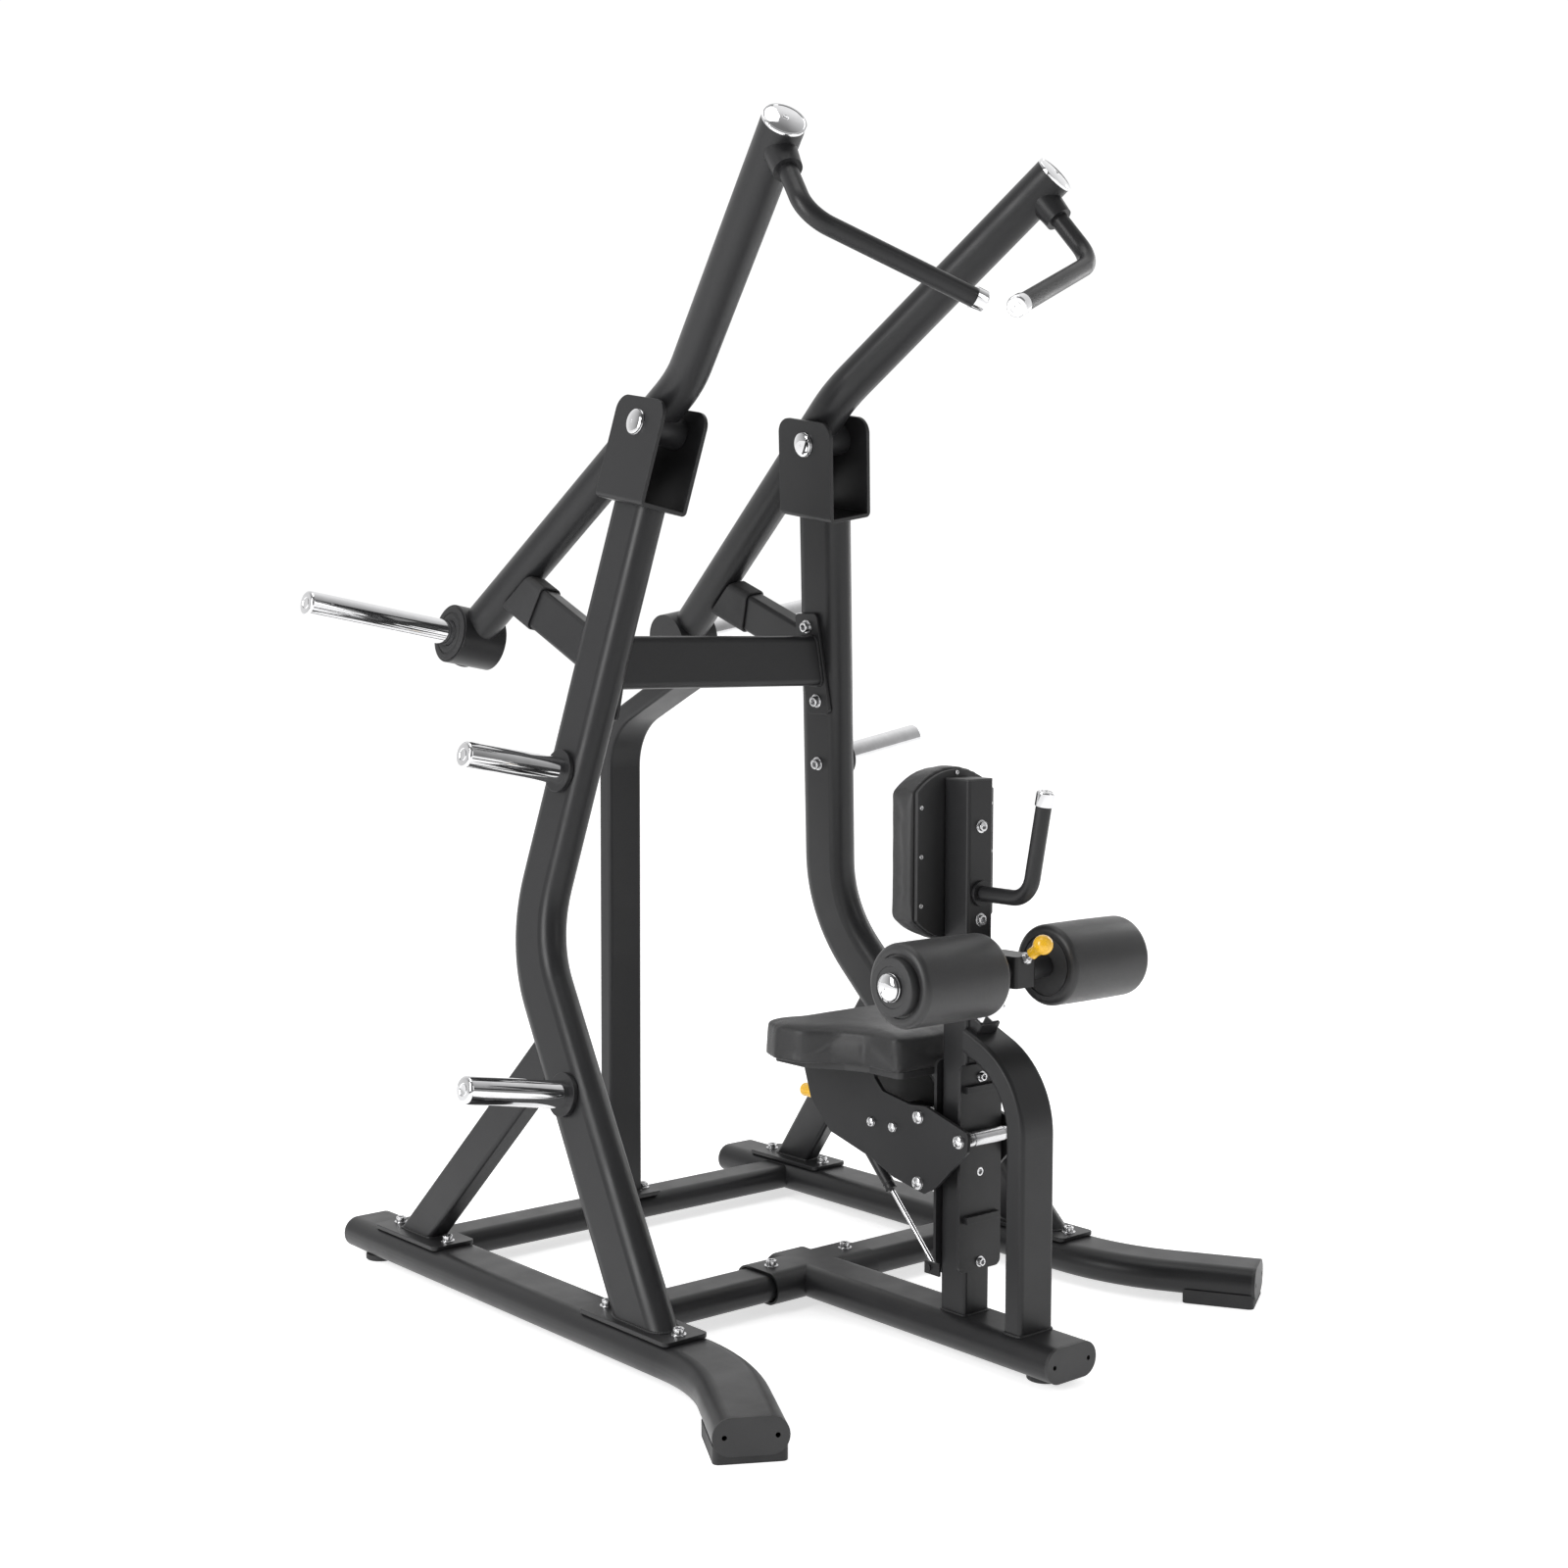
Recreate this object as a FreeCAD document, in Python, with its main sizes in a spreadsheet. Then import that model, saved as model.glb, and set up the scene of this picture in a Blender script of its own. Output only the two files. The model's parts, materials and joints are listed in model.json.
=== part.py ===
"""Plate-loaded lat pulldown machine, one solid per piece, in millimetres.

+Z is up, -Y is the front, and the origin is on the floor under the middle of the
machine. The two columns lean inwards, so everything on them is placed in a leaning
plane: u runs from front to back, v up the plane and w outwards, square to it.
"""
import FreeCAD, Part
import math
import os
import Sketcher
from FreeCAD import Matrix, Placement, Vector

doc = FreeCAD.newDocument("lat_pulldown")
sheet = doc.addObject("Spreadsheet::Sheet", "sizes")

# name, size in millimetres or degrees, what it is
SIZES = (
    ("oval_width", 120, "flat oval frame tube, long side"),
    ("oval_height", 60, "flat oval frame tube, short side"),
    ("oval_corner", 29.5, "flat oval frame tube, end radius"),
    ("oval_wall", 4, "flat oval frame tube, wall"),
    ("flat_width", 100, "beam and crossbar tube, long side"),
    ("flat_height", 50, "beam and crossbar tube, short side"),
    ("beam_corner", 13, "upper beam tube, corner radius"),
    ("bar_corner", 24.5, "crossbar tube, end radius"),
    ("slim_width", 80, "post and brace tube, long side"),
    ("slim_height", 40, "post and brace tube, short side"),
    ("slim_corner", 8, "post and brace tube, corner radius"),
    ("guide_width", 60, "square seat post, side"),
    ("guide_corner", 6, "square seat post, corner radius"),
    ("tube_wall", 3, "wall of the beam, brace and post tubes"),
    ("plate_thickness", 8, "foot plates, flanges and pivot brackets"),
    ("foot_height", 12, "floor to the underside of the rails"),
    ("base_reach", 730, "middle of the machine to its front and back ends"),
    ("cap_thickness", 6, "plastic caps on the rail ends"),
    ("rail_offset", 480, "middle of the machine to a side rail"),
    ("rail_straight", 1025, "straight part of a side rail"),
    ("rail_bend", 400, "bend radius of a side rail"),
    ("rail_splay", 30, "how far a rail's toe turns out, degrees"),
    ("rail_toe", 157, "straight toe of a side rail"),
    ("rear_bar_place", 540, "rear crossbar, behind the middle"),
    ("middle_bar_place", -67, "middle crossbar, behind the middle"),
    ("stub_length", 125, "middle of the machine to the end of a crossbar socket"),
    ("column_offset_back", -196, "foot of a column, behind the middle"),
    ("column_tilt", 10.2, "inward lean of the columns, degrees"),
    ("column_lower_lean", 39.55, "backward lean of a column's foot, degrees"),
    ("column_turn", 49.32, "bend of a column, degrees"),
    ("column_bend", 250, "bend radius of a column"),
    ("column_lower_length", 656, "straight foot of a column"),
    ("column_upper_length", 723, "straight upper part of a column"),
    ("brace_place", 523, "foot of a brace, behind the middle"),
    ("brace_lean", 40.4, "forward lean of a brace, degrees"),
    ("rear_post_place", 530, "rear post, behind the middle"),
    ("rear_post_height", 894, "straight part of the rear post"),
    ("rear_post_bend", 130, "bend radius of the rear post"),
    ("rear_post_turn", 65, "bend of the rear post, degrees"),
    ("beam_height", 1188.5, "floor to the middle of the upper beam"),
    ("beam_place", 208, "upper beam, behind the middle"),
    ("bracket_length", 150, "pivot bracket, front to back"),
    ("bracket_width", 106, "pivot bracket, across its cheeks"),
    ("bracket_height", 194, "pivot bracket, up the column"),
    ("bracket_corner", 30, "pivot bracket, radius of its upper corners"),
    ("bracket_bend", 10, "pivot bracket, outer radius of its folds"),
    ("pivot_rise", 147, "top of a column to the arm's pivot"),
    ("pin_radius", 12.5, "arm pivot pin"),
    ("running_clearance", 0.05, "radial gap round a turning pin"),
    ("sleeve_radius", 30, "pivot sleeve of an arm"),
    ("bush_radius", 16, "outside of a pivot bush"),
    ("bush_length", 14, "length of a pivot bush"),
    ("cap_radius", 24, "chrome cap on a pivot pin"),
    ("arm_radius", 38, "arm tube, outside radius"),
    ("arm_wall", 4, "arm tube, wall"),
    ("arm_bend", 250, "bend radius of an arm"),
    ("arm_tail", 49, "middle of a weight hub to the arm tube's end"),
    ("hub_radius", 58.5, "weight hub"),
    ("hub_length", 96, "weight hub, inside to outside"),
    ("horn_radius", 25, "weight and storage horns, for 50 mm plates"),
    ("horn_length", 326, "weight horn beyond its hub"),
    ("storage_length", 207, "storage horn beyond its flange"),
    ("flange_radius", 40, "flange of a storage horn"),
    ("flange_thickness", 10, "flange of a storage horn"),
    ("grip_radius", 16.5, "pulling handle"),
    ("grip_bend", 60, "bend radius of a pulling handle"),
    ("grip_length", 318, "pulling handle, bend to tip"),
    ("grip_drop", 177, "arm axis to the bend of a pulling handle"),
    ("socket_radius", 25, "socket of a pulling handle"),
    ("stop_lean", 23, "rise of a stop arm from its column, degrees"),
    ("stop_drop", 429.2, "arm pivot to the foot of its stop, down the column"),
    ("storage_upper", 917, "upper storage horn, up the column"),
    ("storage_lower", 338, "lower storage horn, up the column"),
    ("boot_length", 84, "rubber boot on a stop arm"),
    ("boot_wall", 5, "rubber boot, wall"),
    ("boot_top", 8, "rubber boot, thickness under the arm"),
    ("contact_gap", 0.3, "gap between pieces that only touch"),
    ("post_place", -480, "seat post, behind the middle"),
    ("post_top", 996, "floor to the top of the seat post"),
    ("track_thickness", 6, "track plates on the seat post"),
    ("track_width", 100, "front track plate"),
    ("track_bottom", 151, "floor to the foot of the track plates"),
    ("track_length", 360, "track plates, bottom to top"),
    ("front_post_place", -631, "front post, behind the middle"),
    ("front_post_height", 333, "straight part of the front post"),
    ("front_post_bend", 145, "bend radius of the front post"),
    ("front_post_turn", 66, "bend of the front post, degrees"),
    ("front_post_reach", 60, "straight end of the front post"),
    ("roller_radius", 13, "seat guide rollers"),
    ("seat_height", 558, "floor to the top of the seat pad"),
    ("seat_thickness", 66, "seat pad"),
    ("board_thickness", 12, "board under the seat pad"),
    ("bracket_gap", 116, "gap between the seat's side plates"),
    ("knob_radius", 13, "seat knob"),
    ("pull_rod_radius", 5, "seat pull rod"),
    ("hole_spacing", 30, "spacing of the seat's height holes"),
    ("gas_body_radius", 11, "gas spring body"),
    ("gas_rod_radius", 4, "gas spring rod"),
    ("chest_width", 200, "chest pad"),
    ("chest_side", 225, "straight side of the chest pad"),
    ("chest_arch", 42, "rise of the chest pad's curved ends"),
    ("chest_thickness", 62.7, "chest pad"),
    ("chest_board", 8, "board behind the chest pad"),
    ("handle_radius", 13.5, "front handle"),
    ("handle_bend", 45, "bend radius of the front handle"),
    ("handle_lean", 11, "forward lean of the front handle, degrees"),
    ("handle_place", 803, "floor to the root of the front handle"),
    ("handle_reach", 113, "front handle, post to its bend"),
    ("handle_rise", 162, "front handle, bend to its cap"),
    ("thigh_height", 681, "floor to the axle of the thigh rollers"),
    ("thigh_place", -590, "axle of the thigh rollers, behind the middle"),
    ("thigh_lean", 27, "forward lean of the thigh tube, degrees"),
    ("thigh_tube", 40, "thigh tube, side"),
    ("thigh_tube_length", 185, "thigh tube"),
    ("foam_radius", 70, "thigh roller"),
    ("foam_length", 195, "thigh roller"),
    ("foam_gap", 150, "gap between the thigh rollers"),
    ("disc_radius", 48, "disc on the outer end of a thigh roller"),
    ("disc_depth", 14, "disc on the outer end of a thigh roller"),
    ("axle_radius", 12.5, "axle of the thigh rollers"),
)

for row, (name, number, note) in enumerate(SIZES, 1):
    sheet.set("A%d" % row, name)
    sheet.set("B%d" % row, str(number))
    sheet.set("C%d" % row, note)
    sheet.setAlias("B%d" % row, name)
doc.recompute()


class Measure(float):
    """A number that remembers the spreadsheet formula that it comes from."""

    def __new__(cls, number, formula):
        made = float.__new__(cls, number)
        made.formula = formula
        return made

    def __add__(self, other):
        return Measure(float(self) + float(other), "(%s + %s)" % (self.formula, formula(other)))

    def __radd__(self, other):
        return Measure(float(other) + float(self), "(%s + %s)" % (formula(other), self.formula))

    def __sub__(self, other):
        return Measure(float(self) - float(other), "(%s - %s)" % (self.formula, formula(other)))

    def __rsub__(self, other):
        return Measure(float(other) - float(self), "(%s - %s)" % (formula(other), self.formula))

    def __mul__(self, other):
        return Measure(float(self) * float(other), "(%s * %s)" % (self.formula, formula(other)))

    def __rmul__(self, other):
        return self * other

    def __truediv__(self, other):
        return Measure(float(self) / float(other), "(%s / %s)" % (self.formula, formula(other)))


def formula(number):
    return number.formula if isinstance(number, Measure) else repr(float(number))


class Sizes:
    """The spreadsheet's sizes, each read by its alias."""

    def __getattr__(self, name):
        return Measure(float(sheet.get(name)), "sizes." + name)


size = Sizes()
PARTS = []


# ---------------------------------------------------------------- placing

def at(x, y, z):
    return Placement(Vector(x, y, z), FreeCAD.Rotation())


def framed(origin, along, toward):
    """A placement at origin whose Z runs along, with Y in the half plane of toward."""
    z = Vector(along).normalize()
    y = (Vector(toward) - z * z.dot(Vector(toward))).normalize()
    x = y.cross(z)
    return Placement(Matrix(x.x, y.x, z.x, origin.x, x.y, y.y, z.y, origin.y,
                            x.z, y.z, z.z, origin.z, 0, 0, 0, 1))


def sine(degrees):
    return math.sin(math.radians(degrees))


def cosine(degrees):
    return math.cos(math.radians(degrees))


def leaning(side, u, v, w=0):
    """A point in the leaning plane of one column; side is -1 for left, 1 for right."""
    outward = size.rail_offset - v * sine(size.column_tilt) + w * cosine(size.column_tilt)
    up = RAIL_TOP + PLATE + v * cosine(size.column_tilt) + w * sine(size.column_tilt)
    return Vector(side * outward, u, up)


def leaning_direction(side, u, v, w=0):
    return leaning(side, u, v, w) - leaning(side, 0, 0)


# ---------------------------------------------------------------- making

def finish(made, label, placement=None):
    """Name a finished sub-part and list it for export."""
    made.Label = label
    if placement is not None:
        made.Placement = placement
    PARTS.append(made)
    return made


def bind(made, **sizes):
    for name, number in sizes.items():
        setattr(made, name, float(number))
        made.setExpression(name, formula(number))


def box(length, width, height, placement):
    """A box whose placement is at the middle of its lower face."""
    made = doc.addObject("Part::Box", "box")
    bind(made, Length=length, Width=width, Height=height)
    made.Placement = placement * at(-length / 2, -width / 2, 0)
    return made


def cylinder(radius, height, placement):
    made = doc.addObject("Part::Cylinder", "cylinder")
    bind(made, Radius=radius, Height=height)
    made.Placement = placement
    return made


def dome(radius, height, placement):
    """A spherical cap of a given base radius and height, closed by its flat base."""
    ball = (radius * radius + height * height) / (2 * height)
    made = doc.addObject("Part::Sphere", "dome")
    bind(made, Radius=ball)
    made.Angle1 = math.degrees(math.asin((ball - height) / ball))
    made.Angle2 = 90
    made.Placement = placement * at(0, 0, height - ball)
    return made


def fused(pieces):
    made = doc.addObject("Part::MultiFuse", "fused")
    made.Shapes = pieces
    return made


def without(base, tools):
    """The base with the tools cut away."""
    made = doc.addObject("Part::Cut", "cut")
    made.Base = base
    made.Tool = tools[0] if len(tools) == 1 else fused(tools)
    return made


def grouped(pieces):
    made = doc.addObject("Part::Compound", "group")
    made.Links = pieces
    return made


def origin_plane(body, role):
    return next(part for part in body.Origin.OriginFeatures if part.Role == role)


def new_sketch(body, role):
    sketch = body.newObject("Sketcher::SketchObject", "sketch")
    sketch.AttachmentSupport = (origin_plane(body, role), [""])
    sketch.MapMode = "FlatFace"
    return sketch


def constrain(sketch, kind, *items):
    """Add a constraint, bound to the spreadsheet where its number comes from there."""
    index = sketch.addConstraint(Sketcher.Constraint(kind, *items))
    if isinstance(items[-1], Measure):
        unit = " * 1deg" if kind == "Angle" else ""
        sketch.setExpression("Constraints[%d]" % index, items[-1].formula + unit)
    return index


def rounded_loop(sketch, across, along, corner):
    """A rectangle with round corners, centred on the sketch's origin."""
    first = sketch.GeometryCount
    dx = across / 2 - corner
    dy = along / 2 - corner
    centres = (Vector(dx, dy), Vector(-dx, dy), Vector(-dx, -dy), Vector(dx, -dy))

    def on_corner(turn, degrees):
        turn = turn % 4
        angle = math.radians(90 * turn + degrees)
        return centres[turn] + Vector(math.cos(angle), math.sin(angle)) * float(corner)

    for turn, centre in enumerate(centres):
        circle = Part.Circle(centre, Vector(0, 0, 1), float(corner))
        start = math.radians(90 * turn)
        sketch.addGeometry(Part.ArcOfCircle(circle, start, start + math.pi / 2))
    for turn in range(4):
        sketch.addGeometry(Part.LineSegment(on_corner(turn, 90), on_corner(turn + 1, 0)))
    for turn in range(4):
        constrain(sketch, "Tangent", first + turn, 2, first + 4 + turn, 1)
        constrain(sketch, "Tangent", first + 4 + turn, 2, first + (turn + 1) % 4, 1)
        constrain(sketch, "Vertical" if turn % 2 else "Horizontal", first + 4 + turn)
    for turn in range(1, 4):
        constrain(sketch, "Equal", first, first + turn)
    constrain(sketch, "Radius", first, corner)
    constrain(sketch, "DistanceX", first + 5, 1, first + 7, 1, across)
    constrain(sketch, "DistanceY", first + 6, 1, first + 4, 1, along)
    constrain(sketch, "Symmetric", first + 1, 3, first + 3, 3, -1, 1)


def round_loop(sketch, radius, x=0, y=0):
    """A circle; its centre is held at x and y."""
    index = sketch.addGeometry(Part.Circle(Vector(x, y), Vector(0, 0, 1), float(radius)))
    constrain(sketch, "Radius", index, radius)
    if x == 0 and y == 0:
        constrain(sketch, "Coincident", index, 3, -1, 1)
    else:
        constrain(sketch, "DistanceX", -1, 1, index, 3, x)
        constrain(sketch, "DistanceY", -1, 1, index, 3, y)


def tube_section(sketch, section, hollow):
    """Draw a section: (across, along, corner, wall), or (radius, wall) when round."""
    if len(section) == 2:
        radius, wall = section
        round_loop(sketch, radius)
        if hollow:
            round_loop(sketch, radius - wall)
        return
    across, along, corner, wall = section
    rounded_loop(sketch, across, along, corner)
    if hollow:
        rounded_loop(sketch, across - 2 * wall, along - 2 * wall, corner - wall)


def straight(section, length, placement, hollow=True):
    """A straight tube that starts at its placement and runs along Z."""
    body = doc.addObject("PartDesign::Body", "straight")
    sketch = new_sketch(body, "XY_Plane")
    tube_section(sketch, section, hollow)
    pad = body.newObject("PartDesign::Pad", "pad")
    pad.Profile = sketch
    bind(pad, Length=length)
    body.Placement = placement
    return body


def bent(section, first, radius, turn, last, placement, hollow=True):
    """A tube that runs straight along Z, bends towards Y by turn degrees and runs on."""
    body = doc.addObject("PartDesign::Body", "bent")
    profile = new_sketch(body, "XY_Plane")
    tube_section(profile, section, hollow)
    path = new_sketch(body, "YZ_Plane")
    angle = math.radians(turn)
    bend = Part.Circle(Vector(radius, first), Vector(0, 0, 1), float(radius))
    leave = Vector(radius - radius * math.cos(angle), first + radius * math.sin(angle))
    end = leave + Vector(math.sin(angle), math.cos(angle)) * float(last)
    path.addGeometry(Part.LineSegment(Vector(0, 0), Vector(0, first)))
    path.addGeometry(Part.ArcOfCircle(bend, math.pi - angle, math.pi))
    path.addGeometry(Part.LineSegment(leave, end))
    constrain(path, "Coincident", 0, 1, -1, 1)
    constrain(path, "Vertical", 0)
    constrain(path, "Tangent", 0, 2, 1, 2)
    constrain(path, "Tangent", 1, 1, 2, 1)
    constrain(path, "Distance", 0, first)
    constrain(path, "Radius", 1, radius)
    constrain(path, "Distance", 2, last)
    angle_to_level = Measure(math.radians(90 - turn), (90 - turn).formula)
    constrain(path, "Angle", 2, angle_to_level)
    pipe = body.newObject("PartDesign::AdditivePipe", "pipe")
    pipe.Profile = profile
    pipe.Spine = (path, ["Edge1", "Edge2", "Edge3"])
    body.Placement = placement
    return body


def plate(across, along, corner, thickness, placement, holes=()):
    """A rounded plate, drilled at each (radius, x, y) of holes."""
    body = doc.addObject("PartDesign::Body", "plate")
    sketch = new_sketch(body, "XY_Plane")
    rounded_loop(sketch, across, along, corner)
    for radius, x, y in holes:
        round_loop(sketch, radius, x, y)
    pad = body.newObject("PartDesign::Pad", "pad")
    pad.Profile = sketch
    bind(pad, Length=thickness)
    body.Placement = placement
    return body


def outlined(points, thickness, placement, corner=0, wide=0):
    """A prism of an outline in X and Y, its sharp corners rounded by corner and the others by wide."""
    body = doc.addObject("PartDesign::Body", "outlined")
    sketch = new_sketch(body, "XY_Plane")
    count = len(points)
    spots = [Vector(*point) for point in points]
    for index in range(count):
        sketch.addGeometry(Part.LineSegment(spots[index], spots[(index + 1) % count]))
    for index in range(count):
        constrain(sketch, "Coincident", index, 2, (index + 1) % count, 1)
    for index, (x, y) in enumerate(points):
        constrain(sketch, "DistanceX", -1, 1, index, 1, x)
        constrain(sketch, "DistanceY", -1, 1, index, 1, y)
    made = body.newObject("PartDesign::Pad", "pad")
    made.Profile = sketch
    bind(made, Length=thickness)
    turns = [(spots[index] - spots[index - 1]).getAngle(spots[(index + 1) % count] - spots[index])
             for index in range(count)]
    sharp = [spot for spot, turn in zip(spots, turns) if turn > 1 or not wide]
    blunt = [spot for spot in spots if spot not in sharp]
    for radius, chosen in ((corner, sharp), (wide, blunt)):
        if not radius or not chosen:
            continue
        doc.recompute()
        upright = []
        for number, edge in enumerate(made.Shape.Edges, 1):
            foot = edge.Vertexes[0].Point
            direction = edge.Vertexes[-1].Point - foot
            on_corner = any(math.hypot(foot.x - spot.x, foot.y - spot.y) < 0.01 for spot in chosen)
            if on_corner and abs(direction.z) > 0.99 * direction.Length > 0:
                upright.append("Edge%d" % number)
        fillet = body.newObject("PartDesign::Fillet", "fillet")
        fillet.Base = (made, upright)
        bind(fillet, Radius=radius)
        made = fillet
    body.Placement = placement
    return body


def rounded(made, spots, radius):
    """The shape with the edges whose middles are at these spots rounded."""
    doc.recompute()
    numbers = []
    for number, edge in enumerate(made.Shape.Edges, 1):
        middle = edge.valueAt((edge.FirstParameter + edge.LastParameter) / 2)
        if any((middle - spot).Length < 1 for spot in spots):
            numbers.append(number)
    if len(numbers) != len(spots):
        raise RuntimeError("%s has not got the edges to round" % made.Name)
    fillet = doc.addObject("Part::Fillet", "rounded")
    fillet.Base = made
    fillet.Edges = [(number, float(radius), float(radius)) for number in numbers]
    return fillet


def bolt(radius, head, placement):
    """A bolt head with its washer, standing on the face at the placement."""
    washer = cylinder(radius * 1.9, head / 4, placement)
    hexagon = doc.addObject("Part::Prism", "head")
    hexagon.Polygon = 6
    bind(hexagon, Circumradius=radius * 1.7, Height=head)
    hexagon.Placement = placement * at(0, 0, head / 4)
    return fused([washer, hexagon])


# ---------------------------------------------------------------- sections and heights

OVAL = (size.oval_height, size.oval_width, size.oval_corner, size.oval_wall)
BEAM = (size.flat_height, size.flat_width, size.beam_corner, size.tube_wall)
BAR = (size.flat_height, size.flat_width, size.bar_corner, size.tube_wall)
SLIM = (size.slim_height, size.slim_width, size.slim_corner, size.tube_wall)
SLIM_WIDE = (size.slim_width, size.slim_height, size.slim_corner, size.tube_wall)
GUIDE = (size.guide_width, size.guide_width, size.guide_corner, size.tube_wall)
ARM = (size.arm_radius, size.arm_wall)

UP = Vector(0, 0, 1)
BACK = Vector(0, 1, 0)
FORWARD = Vector(0, -1, 0)
SIDES = (("left", -1), ("right", 1))
PLATE = size.plate_thickness
RAIL_MIDDLE = size.foot_height + size.oval_height / 2
RAIL_TOP = size.foot_height + size.oval_height
BAR_TOP = RAIL_MIDDLE + size.flat_height / 2
BOLT_RADIUS = 7
BOLT_HEAD = 9
TOOL = 600                      # a cutting block, larger than any tube's end
bolts = []


# ---------------------------------------------------------------- base frame

def oval_cap(placement):
    """A plastic cap for an oval tube, with its two screw holes."""
    reach = size.oval_width / 2 - 19
    holes = ((4, 0, reach), (4, 0, -reach))
    return plate(size.oval_height, size.oval_width, size.oval_corner,
                 size.cap_thickness, placement, holes)


rail_envelopes = []
caps = []
toe_pads = []
for name, side in SIDES:
    outward = Vector(side, 0, 0)
    rail_end = Vector(side * size.rail_offset, size.base_reach - size.cap_thickness, RAIL_MIDDLE)
    start = framed(rail_end, FORWARD, outward)
    rail = bent(OVAL, size.rail_straight, size.rail_bend, size.rail_splay, size.rail_toe, start)
    finish(rail, "base_rail_" + name)
    rail_envelopes.append(straight(OVAL, size.rail_straight, start, hollow=False))
    caps.append(oval_cap(framed(rail_end, BACK, outward)))

    splay = math.radians(size.rail_splay)
    toe_direction = Vector(side * math.sin(splay), -math.cos(splay), 0)
    bend_out = size.rail_bend * (1 - math.cos(splay)) + size.rail_toe * math.sin(splay)
    bend_on = size.rail_straight + size.rail_bend * math.sin(splay) + size.rail_toe * math.cos(splay)
    toe_end = rail_end + outward * float(bend_out) + FORWARD * float(bend_on)
    caps.append(oval_cap(framed(toe_end, toe_direction, outward)))

    pad_length = 132
    pad_height = 26
    pad_middle = toe_end - toe_direction * (pad_length / 2 - 4)
    pad_place = framed(Vector(pad_middle.x, pad_middle.y, 0), UP, toe_direction)
    pad_block = plate(size.oval_width - 4, pad_length, 10, pad_height, pad_place)
    cap_end = toe_end + toe_direction * float(size.cap_thickness)
    toe_start = framed(cap_end, toe_direction * -1, outward)
    toe_envelope = straight(OVAL, size.rail_toe, toe_start, hollow=False)
    toe_pads.append(without(pad_block, [toe_envelope]))
finish(grouped(toe_pads), "toe_pads")

bar_start = framed(Vector(-(size.rail_offset - size.oval_width / 4), size.rear_bar_place,
                          RAIL_MIDDLE), Vector(1, 0, 0), BACK)
rear_bar = straight(BAR, 2 * size.rail_offset - size.oval_width / 2, bar_start)
finish(without(rear_bar, rail_envelopes), "rear_crossbar")

centre_length = size.base_reach - size.cap_thickness + size.middle_bar_place + size.oval_width / 2
centre_end = Vector(0, -(size.base_reach - size.cap_thickness), RAIL_MIDDLE)
centre_start = framed(centre_end, BACK, Vector(1, 0, 0))
stub_start = framed(Vector(-size.stub_length, size.middle_bar_place, RAIL_MIDDLE),
                    Vector(1, 0, 0), BACK)
inner_oval = (size.oval_height - 2 * size.oval_wall, size.oval_width - 2 * size.oval_wall,
              size.oval_corner - size.oval_wall, size.oval_wall)
centre_solid = fused([straight(OVAL, centre_length, centre_start, hollow=False),
                      straight(OVAL, 2 * size.stub_length, stub_start, hollow=False)])
centre_bore = fused([straight(inner_oval, centre_length - size.oval_wall, centre_start,
                              hollow=False),
                     straight(inner_oval, 2 * size.stub_length, stub_start, hollow=False)])
finish(without(centre_solid, [centre_bore]), "centre_rail")
caps.append(oval_cap(framed(centre_end, FORWARD, Vector(1, 0, 0))))

crossbars = []
for name, side in SIDES:
    inner_end = size.stub_length - 55
    bar_length = size.rail_offset - size.oval_width / 4 - inner_end
    start = framed(Vector(side * inner_end, size.middle_bar_place, RAIL_MIDDLE),
                   Vector(side, 0, 0), BACK)
    crossbars.append(without(straight(BAR, bar_length, start), [rail_envelopes[side > 0]]))
    joint = Vector(side * (size.stub_length - 33), size.middle_bar_place, RAIL_TOP)
    bolts.append(bolt(BOLT_RADIUS, BOLT_HEAD, framed(joint, UP, BACK)))
finish(grouped(crossbars), "middle_crossbars")

FOOT_RADIUS = 31
foot_places = [(side * (size.rail_offset + 15), size.base_reach - 70) for name, side in SIDES]
foot_places.append((0, -(size.base_reach - 60)))
feet = [cylinder(FOOT_RADIUS, size.foot_height, at(x, y, 0)) for x, y in foot_places]
finish(grouped(feet), "round_feet")


# ---------------------------------------------------------------- columns and braces

FOOT_PLATE_WIDTH = 92
COLUMN_PLATE_LENGTH = 252
BRACE_PLATE_LENGTH = 225
plates = []


def foot_plate(middle, along, width, length, bolt_spacing):
    """A plate bolted on a rail or crossbar, with its two bolts in line along it."""
    plates.append(plate(width, length, 12, PLATE, framed(middle, UP, along)))
    for direction in (-1, 1):
        spot = middle + along * (direction * bolt_spacing / 2) + UP * float(PLATE)
        bolts.append(bolt(BOLT_RADIUS, BOLT_HEAD, framed(spot, UP, BACK)))


def column_line(run):
    """A point (u, v) of a column's centre line and its direction, in the leaning plane.

    run counts from the foot: up to the bend's corner at 1, then on to the top at 2.
    """
    lower = size.column_lower_lean
    upper = size.column_lower_lean - size.column_turn
    corner_reach = size.column_bend * math.tan(math.radians(size.column_turn / 2))
    lower_length = size.column_lower_length + corner_reach
    upper_length = size.column_upper_length + corner_reach
    u = size.column_offset_back + sine(lower) * lower_length * min(run, 1)
    v = cosine(lower) * lower_length * min(run, 1)
    if run <= 1:
        return float(u), float(v), sine(lower), cosine(lower)
    u = u + sine(upper) * upper_length * (run - 1)
    v = v + cosine(upper) * upper_length * (run - 1)
    return float(u), float(v), sine(upper), cosine(upper)


def column_at(v):
    """Where the centre line is at height v of the leaning plane."""
    corner_u, corner_v, du, dv = column_line(1)
    if v > corner_v:
        top_u, top_v, du, dv = column_line(2)
        return top_u - (top_v - v) * du / dv
    return corner_u - (corner_v - v) * du / dv


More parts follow.
